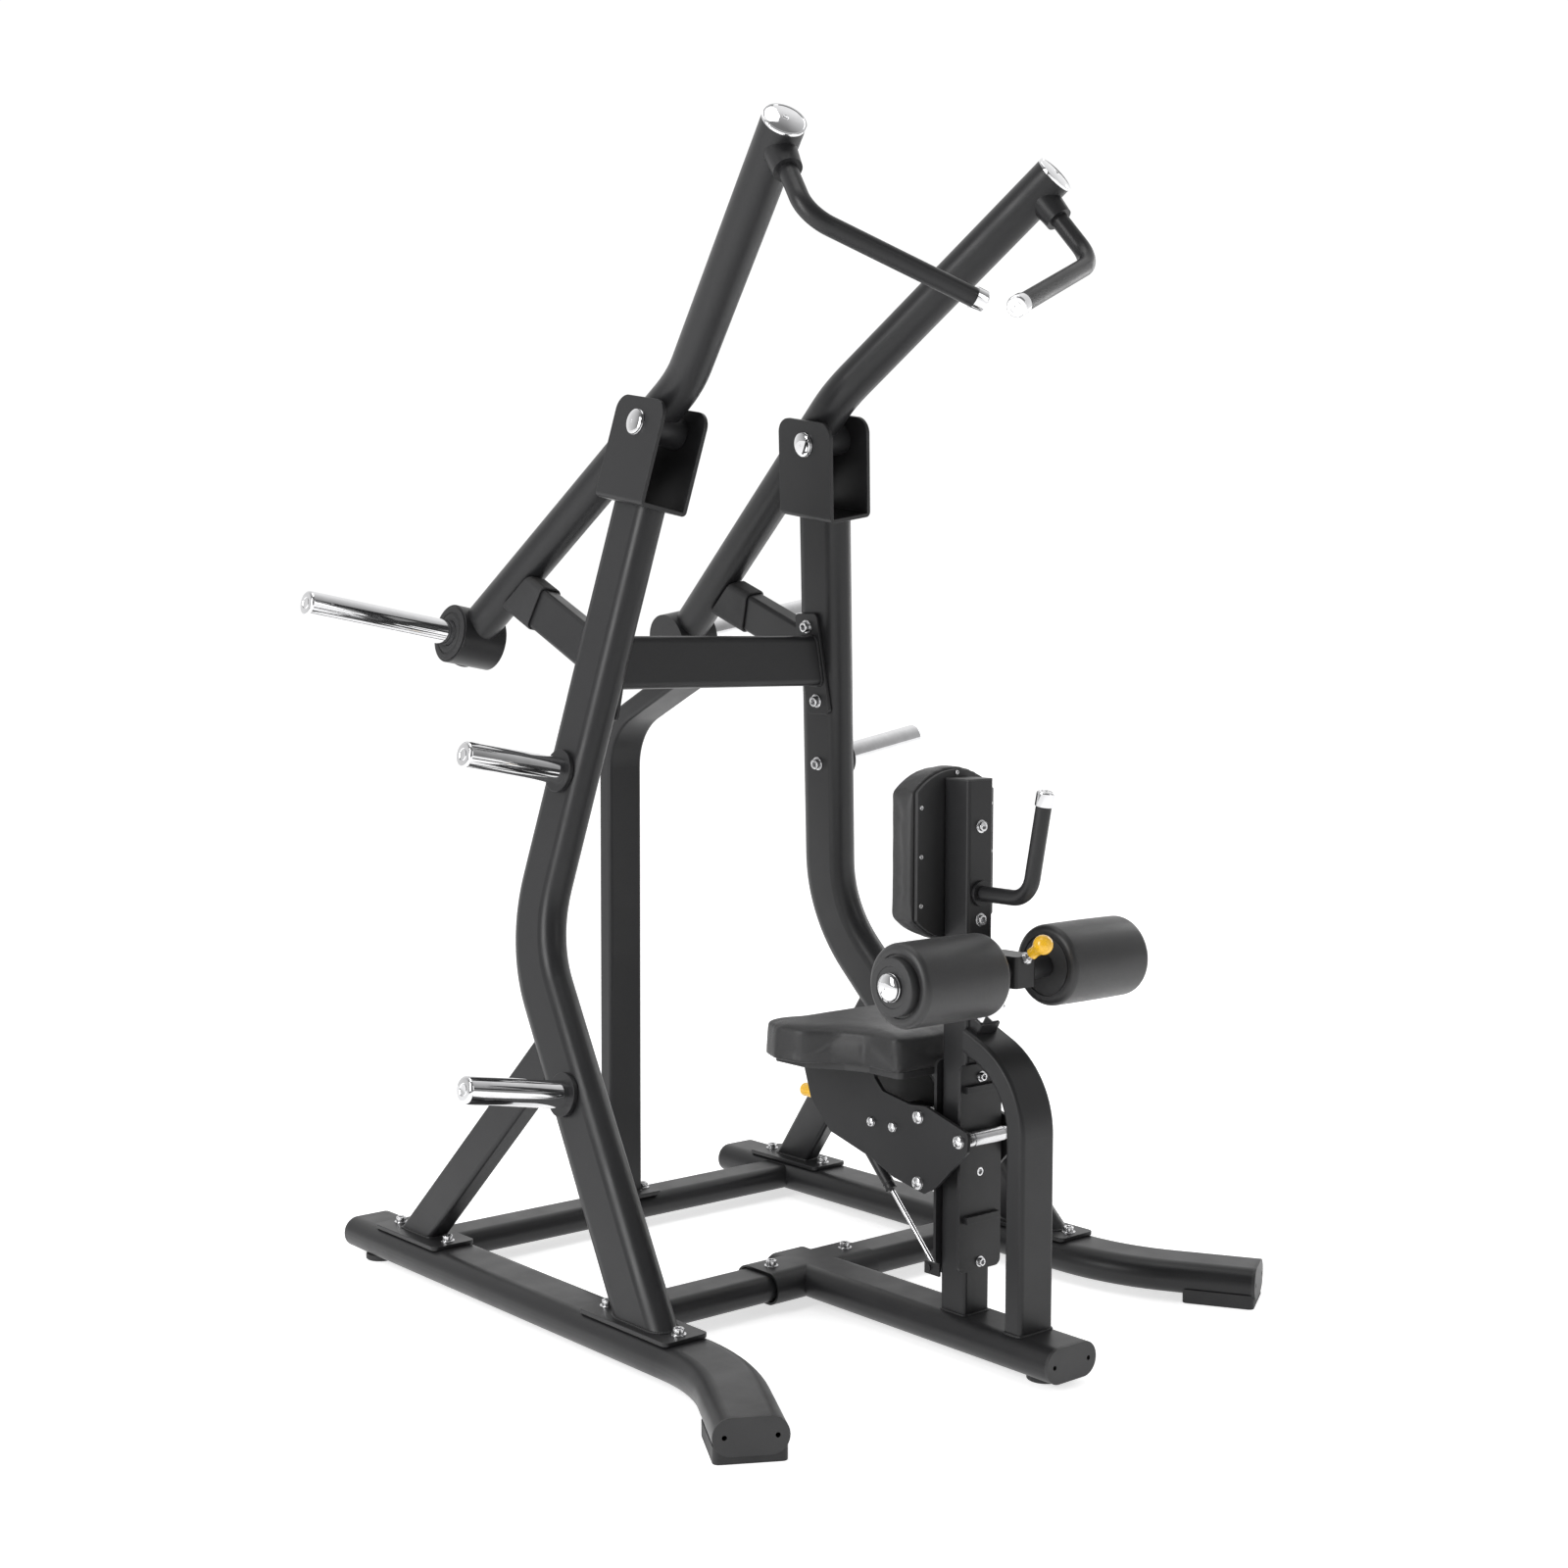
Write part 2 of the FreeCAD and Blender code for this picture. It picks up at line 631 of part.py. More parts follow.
below_plates = box(4 * TOOL, 4 * TOOL, TOOL, at(0, 0, RAIL_TOP + PLATE - TOOL))
FOOT_RUN_ON = 70                # length cut off level at the foot plate
lower_envelopes = []
upper_envelopes = []
braces = []
for name, side in SIDES:
    u, v, du, dv = column_line(0)
    below = leaning(side, u - du * FOOT_RUN_ON, v - dv * FOOT_RUN_ON)
    start = framed(below, leaning_direction(side, du, dv), leaning_direction(side, -dv, du))
    lower_run = size.column_lower_length + FOOT_RUN_ON
    column = bent(OVAL, lower_run, size.column_bend, size.column_turn,
                  size.column_upper_length, start)
    finish(without(column, [below_plates]), "column_" + name)
    lower_envelopes.append(straight(OVAL, lower_run, start, hollow=False))
    u, v, du, dv = column_line(2)
    top = framed(leaning(side, u, v), leaning_direction(side, -du, -dv),
                 leaning_direction(side, dv, -du))
    upper_envelopes.append(straight(OVAL, size.column_upper_length, top, hollow=False))
    column_foot = Vector(side * size.rail_offset, size.column_offset_back + 9, RAIL_TOP)
    foot_plate(column_foot, BACK, FOOT_PLATE_WIDTH, COLUMN_PLATE_LENGTH, 202)

    lean = size.brace_lean
    brace_foot = leaning(side, size.brace_place + sine(lean) * 60, -cosine(lean) * 60)
    start = framed(brace_foot, leaning_direction(side, -sine(lean), cosine(lean)),
                   leaning_direction(side, cosine(lean), sine(lean)))
    brace = straight(SLIM, 600, start)
    braces.append(without(brace, [below_plates, lower_envelopes[-1]]))
    brace_base = Vector(side * size.rail_offset, size.brace_place, RAIL_TOP)
    foot_plate(brace_base, BACK, FOOT_PLATE_WIDTH, BRACE_PLATE_LENGTH, 173)
finish(grouped(braces), "braces")


# ---------------------------------------------------------------- upper beam and rear post

FLANGE_WIDTH = 66
FLANGE_LENGTH = 206
beam_v = (size.beam_height - RAIL_TOP - PLATE) / cosine(size.column_tilt)
beside_beam = []
for name, side in SIDES:
    face = -(size.oval_height / 2)
    inward = leaning_direction(side, 0, 0, -1)
    spot = leaning(side, size.beam_place, beam_v, face)
    plates.append(plate(FLANGE_WIDTH, FLANGE_LENGTH, 10, PLATE,
                        framed(spot, inward, leaning_direction(side, 0, 1))))
    for direction in (-1, 1):
        head = leaning(side, size.beam_place, beam_v + direction * 76, face - PLATE)
        bolts.append(bolt(BOLT_RADIUS, BOLT_HEAD, framed(head, inward, BACK)))
    face_spot = leaning(side, size.beam_place, beam_v, face - PLATE)
    beside_beam.append(box(TOOL, TOOL, TOOL, framed(face_spot, inward * -1, BACK)))
beam_reach = size.rail_offset - 100
beam_start = framed(Vector(-beam_reach, size.beam_place, size.beam_height), Vector(1, 0, 0), UP)
finish(without(straight(BEAM, 2 * beam_reach, beam_start), beside_beam), "upper_beam")

post_spot = Vector(0, size.rear_post_place + 4, BAR_TOP)
foot_plate(post_spot, Vector(1, 0, 0), 90, 152, 118)
post_foot = framed(Vector(0, size.rear_post_place, BAR_TOP + PLATE), UP, FORWARD)
rear_post = bent(SLIM_WIDE, size.rear_post_height, size.rear_post_bend, size.rear_post_turn,
                 size.flat_width * 3.2, post_foot)
beam_back = size.beam_place + size.flat_height / 2
before_beam = box(TOOL, TOOL, 3 * TOOL, at(0, beam_back - TOOL / 2, 0))
finish(without(rear_post, [before_beam]), "rear_post")
finish(grouped(plates), "joint_plates")


# ---------------------------------------------------------------- pivot brackets and pins

def bracket_frame(side, rise=0, outward=0):
    """The leaning frame at the top of a column: Z up the column, Y towards the back."""
    u, v, du, dv = column_line(2)
    return framed(leaning(side, u + du * rise, v + dv * rise, outward),
                  leaning_direction(side, du, dv), leaning_direction(side, dv, -du))


def across_pivot(side, u, v, w):
    """A frame whose Z points outwards, square to the leaning plane."""
    return framed(leaning(side, u, v, w), leaning_direction(side, 0, 0, 1), BACK)


top_u, top_v, top_du, top_dv = column_line(2)
PIVOT_U = top_u + top_du * size.pivot_rise
PIVOT_V = top_v + top_dv * size.pivot_rise
pins = []
chrome = []
for name, side in SIDES:
    half_width = size.bracket_width / 2
    below = TOOL / 6
    along = leaning_direction(side, *column_line(2)[2:])
    middle = size.bracket_height / 2 - below / 2
    cheek = framed(leaning(side, top_u + top_du * middle, top_v + top_dv * middle, -half_width),
                   leaning_direction(side, 0, 0, 1), along)
    outer = plate(size.bracket_length, size.bracket_height + below, size.bracket_corner,
                  size.bracket_width, cheek)
    trim = box(TOOL, TOOL, TOOL, bracket_frame(side, -TOOL))
    channel = box(size.bracket_width - 2 * PLATE, TOOL, TOOL, bracket_frame(side, PLATE))
    bore = cylinder(size.pin_radius, size.bracket_width,
                    across_pivot(side, PIVOT_U, PIVOT_V, -half_width))
    folds = [leaning(side, top_u, top_v, direction * half_width) for direction in (-1, 1)]
    bracket = rounded(without(outer, [trim, channel, bore]), folds, size.bracket_bend)
    finish(bracket, "pivot_bracket_" + name)
    pins.append(cylinder(size.pin_radius, size.bracket_width,
                         across_pivot(side, PIVOT_U, PIVOT_V, -half_width)))
    for direction in (-1, 1):
        face = across_pivot(side, PIVOT_U, PIVOT_V, direction * half_width)
        if direction < 0:
            face = face * Placement(Vector(), FreeCAD.Rotation(Vector(1, 0, 0), 180))
        disc = cylinder(size.cap_radius, 5, face)
        chrome.append(fused([disc, dome(size.cap_radius, 5, face * at(0, 0, 5))]))
finish(grouped(pins), "pivot_pins")


# ---------------------------------------------------------------- arms

# Centre line of an arm in the leaning plane: (u, v, w) of the hub, the kink and the top.
HUB = (PIVOT_U + 540.3, PIVOT_V - 392.8, 0)
KINK = (PIVOT_U - 59.7, PIVOT_V + 83.2, 0)
TOP = (PIVOT_U - 492.7, PIVOT_V + 425.2, 197)
HANDLE_ROOT = 42                # arm's top to the root of its handle
HANDLE_BEND = (137.1, -570.7, 290.9)    # from the pivot
HANDLE_TIP = (-145.9, -664.7, 178.9)    # from the pivot

stops = []
boots = []
horns = []
flanges = []
for name, side in SIDES:
    hub = leaning(side, *HUB)
    kink = leaning(side, *KINK)
    top = leaning(side, *TOP)
    lower = (kink - hub).normalize()
    upper = (top - kink).normalize()
    kink_turn = math.degrees(lower.getAngle(upper))
    turn = Measure(kink_turn, repr(kink_turn))
    corner_reach = size.arm_bend * math.tan(math.radians(kink_turn / 2))
    tail = hub - lower * float(size.arm_tail)
    first = Measure((kink - tail).Length, repr((kink - tail).Length)) - corner_reach
    last = Measure((top - kink).Length, repr((top - kink).Length)) - corner_reach
    arm_start = framed(tail, lower, upper)
    tube = bent(ARM, first, size.arm_bend, turn, last, arm_start)
    solid_arm = bent(ARM, first, size.arm_bend, turn, last, arm_start, hollow=False)

    end_disc = cylinder(size.arm_radius, size.arm_wall, arm_start)
    sleeve_length = size.bracket_width - 2 * PLATE - 4
    sleeve_start = across_pivot(side, PIVOT_U, PIVOT_V, -sleeve_length / 2)
    sleeve = cylinder(size.sleeve_radius, sleeve_length, sleeve_start)
    pin_bore = cylinder(size.pin_radius + 4, sleeve_length, sleeve_start)
    bush_seats = []
    bushes = []
    for direction in (-1, 1):
        low = min(direction * sleeve_length / 2, direction * (sleeve_length / 2 - size.bush_length))
        seat = across_pivot(side, PIVOT_U, PIVOT_V, low)
        bush_seats.append(cylinder(size.bush_radius, size.bush_length, seat))
        ring = cylinder(size.bush_radius, size.bush_length, seat)
        hole = cylinder(size.pin_radius + size.running_clearance, size.bush_length, seat)
        bushes.append(without(ring, [hole]))

    root = top - upper * HANDLE_ROOT
    pivot_spot = leaning(side, PIVOT_U, PIVOT_V)
    bend_spot = pivot_spot + Vector(side * HANDLE_BEND[0], *HANDLE_BEND[1:])
    tip_spot = pivot_spot + Vector(side * HANDLE_TIP[0], *HANDLE_TIP[1:])
    drop = (bend_spot - root).normalize()
    sweep = (tip_spot - bend_spot).normalize()
    socket_place = framed(root + drop * 20, drop, sweep)
    socket_length = 50
    boss = doc.addObject("Part::Cone", "boss")
    bind(boss, Radius1=size.socket_radius + 4, Radius2=size.socket_radius, Height=socket_length)
    boss.Placement = socket_place
    arm_bore = bent((size.arm_radius - size.arm_wall, size.arm_wall), first, size.arm_bend, turn,
                    last, arm_start, hollow=False)
    boss_bore = cylinder(size.grip_radius, socket_length, socket_place)
    outer_boss = without(boss, [arm_bore, boss_bore])
    arm = fused([without(tube, [boss_bore, sleeve]), end_disc,
                 without(sleeve, [pin_bore] + bush_seats), outer_boss])
    finish(arm, "arm_tube_" + name)
    finish(grouped(bushes), "pivot_bushes_" + name)

    handle_turn = math.degrees(drop.getAngle(sweep))
    handle_corner = size.grip_bend * math.tan(math.radians(handle_turn / 2))
    handle_first = size.grip_drop - 44 - handle_corner
    handle_last = size.grip_length - handle_corner
    handle_start = framed(root + drop * 44, drop, sweep)
    grip = bent((size.grip_radius, size.tube_wall), handle_first, size.grip_bend,
                Measure(handle_turn, repr(handle_turn)), handle_last, handle_start)
    finish(grip, "handle_bar_" + name)
    tip = root + drop * float(size.grip_drop) + sweep * float(size.grip_length)
    tip_frame = framed(tip, sweep, drop)
    top_frame = framed(top, upper, drop)
    grip_cap = fused([cylinder(size.grip_radius + 2.5, 18, tip_frame),
                      dome(size.grip_radius + 2.5, 4, tip_frame * at(0, 0, 18))])
    arm_cap = fused([cylinder(size.arm_radius + 0.5, 5, top_frame),
                     dome(size.arm_radius + 0.5, 3, top_frame * at(0, 0, 5))])
    finish(grouped([arm_cap, grip_cap]), "arm_end_caps_" + name)

    hub_start = across_pivot(side, HUB[0], HUB[1], -size.hub_length / 2)
    hub_solid = cylinder(size.hub_radius, size.hub_length, hub_start)
    finish(without(hub_solid, [solid_arm]), "weight_hub_" + name)
    horn_start = across_pivot(side, HUB[0], HUB[1], size.hub_length / 2)
    horn = fused([cylinder(size.horn_radius, size.horn_length - 5, horn_start),
                  dome(size.horn_radius, 5, horn_start * at(0, 0, size.horn_length - 5))])
    finish(horn, "weight_horn_" + name)

    # The stop arm runs from the column to the underside of the resting arm.
    arm_u, arm_v = KINK[0] - HUB[0], KINK[1] - HUB[1]
    arm_length = math.hypot(arm_u, arm_v)
    normal_u, normal_v = arm_v / arm_length, -arm_u / arm_length
    stop_u, stop_v = cosine(size.stop_lean), sine(size.stop_lean)
    stop_root_v = PIVOT_V - size.stop_drop
    stop_root_u = column_at(stop_root_v)
    gap = (HUB[0] - stop_root_u) * normal_u + (HUB[1] - stop_root_v) * normal_v
    toward_arm = stop_u * normal_u + stop_v * normal_v
    contact = (gap - size.arm_radius - size.contact_gap) / toward_arm
    stop_start = framed(leaning(side, stop_root_u, stop_root_v),
                        leaning_direction(side, stop_u, stop_v),
                        leaning_direction(side, -stop_v, stop_u))

    def above_line(distance):
        """A cutting block whose face is parallel to the arm, this far along the stop."""
        spot = leaning(side, stop_root_u + stop_u * distance, stop_root_v + stop_v * distance)
        return box(TOOL, TOOL, TOOL, framed(spot, leaning_direction(side, normal_u, normal_v),
                                            leaning_direction(side, arm_u, arm_v)))

    stop_length = contact + 100
    stop_end = contact - size.boot_top / toward_arm
    stops.append(without(straight(SLIM, stop_length, stop_start),
                         [upper_envelopes[side > 0], above_line(stop_end)]))
    inner_stop = without(straight(SLIM, stop_length, stop_start, hollow=False),
                         [above_line(stop_end)])
    boot_section = (size.slim_height + 2 * size.boot_wall, size.slim_width + 2 * size.boot_wall,
                    size.slim_corner + size.boot_wall, size.boot_wall)
    boot_start = stop_start * at(0, 0, contact - size.boot_length)
    boot = straight(boot_section, size.boot_length + 100, boot_start, hollow=False)
    boots.append(without(boot, [inner_stop, above_line(contact)]))

    for v in (size.storage_upper, size.storage_lower):
        face = across_pivot(side, column_at(v), v, size.oval_height / 2)
        flanges.append(cylinder(size.flange_radius, size.flange_thickness, face))
        horn_face = face * at(0, 0, size.flange_thickness)
        horns.append(fused([cylinder(size.horn_radius, size.storage_length - 5, horn_face),
                            dome(size.horn_radius, 5, horn_face * at(0, 0, size.storage_length - 5))]))
        inner_face = across_pivot(side, column_at(v), v, -size.oval_height / 2)
        inner_face = inner_face * Placement(Vector(), FreeCAD.Rotation(Vector(1, 0, 0), 180))
        bolts.append(bolt(BOLT_RADIUS, BOLT_HEAD, inner_face))
finish(grouped(stops), "stop_arms")
finish(grouped(boots), "stop_bumpers")
finish(grouped(horns), "storage_horns")
finish(grouped(flanges), "horn_flanges")


# ---------------------------------------------------------------- seat post and front post

post_front = size.post_place - size.guide_width / 2
post_back = size.post_place + size.guide_width / 2
lean = size.thigh_lean
tube_down = Vector(0, sine(lean), -cosine(lean))
TUBE_HEAD = Vector(0, size.thigh_place + 27, size.thigh_height)
SOCKET_START = 100
SOCKET_LENGTH = 98
SOCKET_WALL = 3.5
socket_side = size.thigh_tube + 1 + 2 * SOCKET_WALL
socket_place = framed(TUBE_HEAD + tube_down * SOCKET_START, tube_down, FORWARD)
socket_section = (socket_side, socket_side, 6, SOCKET_WALL)
finish(straight(socket_section, SOCKET_LENGTH, socket_place), "thigh_socket")
NOTCH = 30                      # the posts are cut away this far above the socket
socket_envelope = straight(socket_section, SOCKET_LENGTH + NOTCH,
                           socket_place * at(0, 0, -NOTCH), hollow=False)

post_base = framed(Vector(0, size.post_place, RAIL_TOP), UP, BACK)
seat_post = straight(GUIDE, size.post_top - RAIL_TOP, post_base)
finish(without(seat_post, [socket_envelope]), "seat_post")
post_cap = plate(size.guide_width, size.guide_width, size.guide_corner, 3,
                 at(0, size.post_place, size.post_top))
caps.append(post_cap)
finish(grouped(caps), "tube_caps")

front_base = framed(Vector(0, size.front_post_place, RAIL_TOP), UP, BACK)
front_post = bent(SLIM_WIDE, size.front_post_height, size.front_post_bend, size.front_post_turn,
                  size.front_post_reach, front_base)
behind_front = box(TOOL, TOOL, 3 * TOOL, at(0, post_front + TOOL / 2, 0))
finish(without(front_post, [behind_front, socket_envelope]), "front_post")

track_middle = size.track_bottom + size.track_length / 2
SUNK_BOLT = -9                  # a bolt sunk level with the plate, in the front roller's way
SUNK_RADIUS = 8
track_front = framed(Vector(0, post_front, track_middle), FORWARD, UP)
front_track = plate(size.track_width, size.track_length, 12, size.track_thickness, track_front,
                    [(SUNK_RADIUS + 0.1, 0, SUNK_BOLT)])
PIN_X = 16
PIN_Z = 385
holes = [(size.pull_rod_radius + 0.5, -PIN_X, PIN_Z - track_middle + step * size.hole_spacing)
         for step in range(-4, 3)]
rear_track = plate(size.track_width - 16, size.track_length, 12, size.track_thickness,
                   framed(Vector(0, post_back, track_middle), BACK, UP), holes)
STOP_DEPTH = 9
STOP_HEIGHT = 12
stop_bars = [box(80, STOP_DEPTH, STOP_HEIGHT,
                 at(0, post_front - size.track_thickness - STOP_DEPTH / 2, z))
             for z in (237, 463)]
finish(grouped([fused([front_track] + stop_bars), rear_track]), "track_plates")
bolts.append(cylinder(SUNK_RADIUS, size.track_thickness - 0.5, track_front * at(0, SUNK_BOLT, 0)))
for height in (-166, 157):
    spot = Vector(0, post_front - size.track_thickness, track_middle + height)
    bolts.append(bolt(5, 6, framed(spot, FORWARD, UP)))

LUG = Vector(-20, -425, 140)    # lower pivot of the gas spring
lug_plates = []
for direction in (-1, 1):
    lug_plates.append(box(4, LUG.y + 12 - post_back, 22,
                          at(LUG.x + direction * 11, (LUG.y + 12 + post_back) / 2, LUG.z - 12)))
    lug_face = framed(Vector(LUG.x + direction * 13, LUG.y, LUG.z), Vector(direction, 0, 0), UP)
    lug_plates.append(cylinder(6, 4, lug_face))
finish(grouped([fused(lug_plates[:2]), fused(lug_plates[2:])]), "gas_spring_lug")


# ---------------------------------------------------------------- chest pad and front handle

chest_middle = 866


def arched(width, side_length, arch, thickness, placement):
    """A slab with straight sides and arched ends, standing on its placement's XY plane."""
    body = doc.addObject("PartDesign::Body", "arched")
    sketch = new_sketch(body, "XY_Plane")
    radius = (width * width / 4 + arch * arch) / (2 * arch)
    half = math.asin(width / 2 / radius)
    for direction in (1, -1):
        centre = Vector(0, direction * (side_length / 2 + arch - radius))
        circle = Part.Circle(centre, Vector(0, 0, 1), float(radius))
        middle = math.pi / 2 * direction
        sketch.addGeometry(Part.ArcOfCircle(circle, middle - half, middle + half))
    corner = Vector(width / 2, side_length / 2)
    sketch.addGeometry(Part.LineSegment(Vector(-corner.x, corner.y), Vector(-corner.x, -corner.y)))
    sketch.addGeometry(Part.LineSegment(Vector(corner.x, -corner.y), corner))
    for first, end, second, begin in ((0, 2, 2, 1), (2, 2, 1, 1), (1, 2, 3, 1), (3, 2, 0, 1)):
        constrain(sketch, "Coincident", first, end, second, begin)
    constrain(sketch, "Vertical", 2)
    constrain(sketch, "Vertical", 3)
    constrain(sketch, "DistanceX", 2, 1, 3, 2, width)
    constrain(sketch, "DistanceY", 3, 1, 3, 2, side_length)
    constrain(sketch, "Symmetric", 2, 1, 3, 1, -1, 1)
    constrain(sketch, "Radius", 0, radius)
    constrain(sketch, "Radius", 1, radius)
    pad = body.newObject("PartDesign::Pad", "pad")
    pad.Profile = sketch
    bind(pad, Length=thickness)
    body.Placement = placement
    return body


board_face = framed(Vector(0, post_back, chest_middle), BACK, UP)
chest_board = arched(size.chest_width - 16, size.chest_side - 6, size.chest_arch - 5,
                     size.chest_board, board_face)
finish(chest_board, "chest_board")
pad_face = board_face * at(0, 0, size.chest_board + size.contact_gap)
chest_pad = arched(size.chest_width, size.chest_side, size.chest_arch, size.chest_thickness, pad_face)
finish(chest_pad, "chest_pad")
for z in (918, 758):
    bolts.append(bolt(6, 6, framed(Vector(0, post_front, z), FORWARD, UP)))
SCREW_REACH = 84
for x, z in ((0, 141), (SCREW_REACH, 0), (-SCREW_REACH, 0), (SCREW_REACH, 84),
             (-SCREW_REACH, 84), (SCREW_REACH, -84), (-SCREW_REACH, -84)):
    spot = Vector(x, post_back, chest_middle + z)
    bolts.append(cylinder(4, 2, framed(spot, FORWARD, UP)))

handle_turn = 90 - size.handle_lean
handle_corner = size.handle_bend * math.tan(math.radians(handle_turn / 2))
handle_root = framed(Vector(0, post_front, size.handle_place), FORWARD, UP)
rod = bent((size.handle_radius, size.tube_wall), size.handle_reach - handle_corner,
           size.handle_bend, handle_turn, size.handle_rise - handle_corner, handle_root)
rosette = without(cylinder(22, 6, handle_root), [cylinder(size.handle_radius, 6, handle_root)])
finish(fused([rod, rosette]), "front_handle")
handle_along = Vector(0, -sine(size.handle_lean), cosine(size.handle_lean))
handle_corner_spot = Vector(0, post_front - size.handle_reach, size.handle_place)
cap_frame = framed(handle_corner_spot + handle_along * size.handle_rise, handle_along, BACK)
chrome.append(fused([cylinder(size.handle_radius + 2, 22, cap_frame),
                     dome(size.handle_radius + 2, 3, cap_frame * at(0, 0, 22))]))
finish(grouped(chrome), "chrome_caps")
finish(grouped(bolts), "frame_bolts")


# ---------------------------------------------------------------- seat

half_gap = size.bracket_gap / 2
seat_bottom = size.seat_height - size.seat_thickness
board_bottom = seat_bottom - size.board_thickness

SEAT_OUTLINE = ((118, -432), (117, -352), (141, -296), (190, -246), (196, -190), (172, -135))
seat_points = list(SEAT_OUTLINE) + [(-x, y) for x, y in reversed(SEAT_OUTLINE)]
seat_pad = outlined(seat_points, size.seat_thickness - size.contact_gap,
                    at(0, 0, seat_bottom + size.contact_gap), 14, 60)
finish(seat_pad, "seat_pad")
BOARD_OUTLINE = ((104, -422), (104, -345), (122, -300), (160, -240), (160, -152))
board_points = list(BOARD_OUTLINE) + [(-x, y) for x, y in reversed(BOARD_OUTLINE)]
finish(outlined(board_points, size.board_thickness, at(0, 0, board_bottom), 12), "seat_board")

# Side plate outline: back edge, sloping underside, nose round the front roller, upper edge.
PLATE_OUTLINE = ((-122, board_bottom), (-128, 453), (-148, 396), (-201, 346), (-311, 317),
                 (-367, 294), (-446, 279), (-475, 297), (-548, 370), (-550, 403), (-490, 420),
                 (-446, 433), (-408, 430), (-338, 442), (-318, 462), (-312, board_bottom))
front_axle = Vector(0, post_front - size.track_thickness - size.roller_radius - size.contact_gap, 386)
rear_line = post_back + size.track_thickness + size.roller_radius + size.contact_gap
upper_axle = Vector(0, rear_line, 412)
lower_axle = Vector(0, rear_line, 296)
AXLE_RADIUS = 6
side_plates = []
seat_bolts = []
for name, side in SIDES:
    inner = side * half_gap
    outer_place = framed(Vector(min(inner, inner + side * PLATE), 0, 0), Vector(1, 0, 0), UP)
    blank = outlined(PLATE_OUTLINE, PLATE, outer_place, 9)
    holes = [cylinder(AXLE_RADIUS, size.bracket_gap * 2, framed(
        Vector(-size.bracket_gap, axle.y, axle.z), Vector(1, 0, 0), UP))
        for axle in (front_axle, upper_axle, lower_axle)]
    side_plates.append(without(blank, holes))
finish(grouped(side_plates), "seat_side_plates")

rollers = (("front", front_axle), ("upper", upper_axle), ("lower", lower_axle))
half_axle = half_gap + PLATE
for name, axle in rollers:
    start = framed(Vector(-(half_gap - 2), axle.y, axle.z), Vector(1, 0, 0), UP)
    ring = cylinder(size.roller_radius, 2 * half_gap - 4, start)
    hole = cylinder(AXLE_RADIUS + size.running_clearance, 2 * half_gap - 4, start)
    finish(without(ring, [hole]), "seat_roller_" + name)
    start = framed(Vector(-half_axle, axle.y, axle.z), Vector(1, 0, 0), UP)
    shaft = cylinder(AXLE_RADIUS, 2 * half_axle, start)
    heads = []
    for side_name, side in SIDES:
        face = framed(Vector(side * half_axle, axle.y, axle.z), Vector(side, 0, 0), UP)
        heads.append(cylinder(12, 4, face))
        heads.append(dome(12, 4, face * at(0, 0, 4)))
    seat_bolts.append(fused([shaft] + heads))

HOUSING_Y = (-382, -296)
HOUSING_HEIGHT = 32
housing = box(size.bracket_gap, HOUSING_Y[1] - HOUSING_Y[0], HOUSING_HEIGHT,
              at(0, sum(HOUSING_Y) / 2, PIN_Z - HOUSING_HEIGHT / 2))
rod_bore = cylinder(size.pull_rod_radius + size.running_clearance, 200,
                    framed(Vector(PIN_X, HOUSING_Y[0] - 50, PIN_Z), BACK, UP))
finish(without(housing, [rod_bore]), "pin_housing")
for y in (-366, -311):
    for name, side in SIDES:
        face = framed(Vector(side * half_axle, y, PIN_Z - 2), Vector(side, 0, 0), UP)
        seat_bolts.append(fused([cylinder(9, 3, face), dome(9, 4, face * at(0, 0, 3))]))

GAS_TOP = Vector(LUG.x, -190, 385)
stud = framed(Vector(-half_gap, GAS_TOP.y, GAS_TOP.z), Vector(1, 0, 0), UP)
seat_bolts.append(cylinder(4, half_gap + LUG.x + 12, stud))
finish(grouped(seat_bolts), "seat_bolts")

gas_line = (LUG - GAS_TOP).normalize()
gas_frame = framed(GAS_TOP, gas_line, UP)
eye_frame = framed(GAS_TOP - Vector(6, 0, 0), Vector(1, 0, 0), UP)
GAS_BODY = 180
eye = fused([cylinder(9, 12, eye_frame), cylinder(5, 20, gas_frame)])
barrel = without(cylinder(size.gas_body_radius, GAS_BODY - 12, gas_frame * at(0, 0, 14)),
                 [cylinder(size.gas_rod_radius + size.running_clearance, GAS_BODY,
                           gas_frame * at(0, 0, 26))])
gas_cylinder = without(fused([eye, barrel]),
                       [cylinder(4 + size.running_clearance, 12, eye_frame)])
finish(gas_cylinder, "gas_cylinder")
gas_length = (LUG - GAS_TOP).Length
ROD_INSIDE = 75
rod_start = gas_frame * at(0, 0, GAS_BODY - ROD_INSIDE)
low_eye = cylinder(9, 12, framed(LUG - Vector(6, 0, 0), Vector(1, 0, 0), UP))
gas_rod = fused([cylinder(size.gas_rod_radius, gas_length - GAS_BODY + ROD_INSIDE, rod_start),
                 low_eye])
finish(gas_rod, "gas_rod")

pin_tip = post_back + size.track_thickness + size.contact_gap
KNOB_START = -86
KNOB_LENGTH = 55
pull_rod = cylinder(size.pull_rod_radius, KNOB_START - pin_tip,
                    framed(Vector(PIN_X, pin_tip, PIN_Z), BACK, UP))
knob_frame = framed(Vector(PIN_X, KNOB_START, PIN_Z), BACK, UP)
knob = fused([cylinder(size.knob_radius, KNOB_LENGTH - 5, knob_frame),
              dome(size.knob_radius, 5, knob_frame * at(0, 0, KNOB_LENGTH - 5))])
finish(grouped([pull_rod, knob]), "seat_pin")


# ---------------------------------------------------------------- thigh rollers

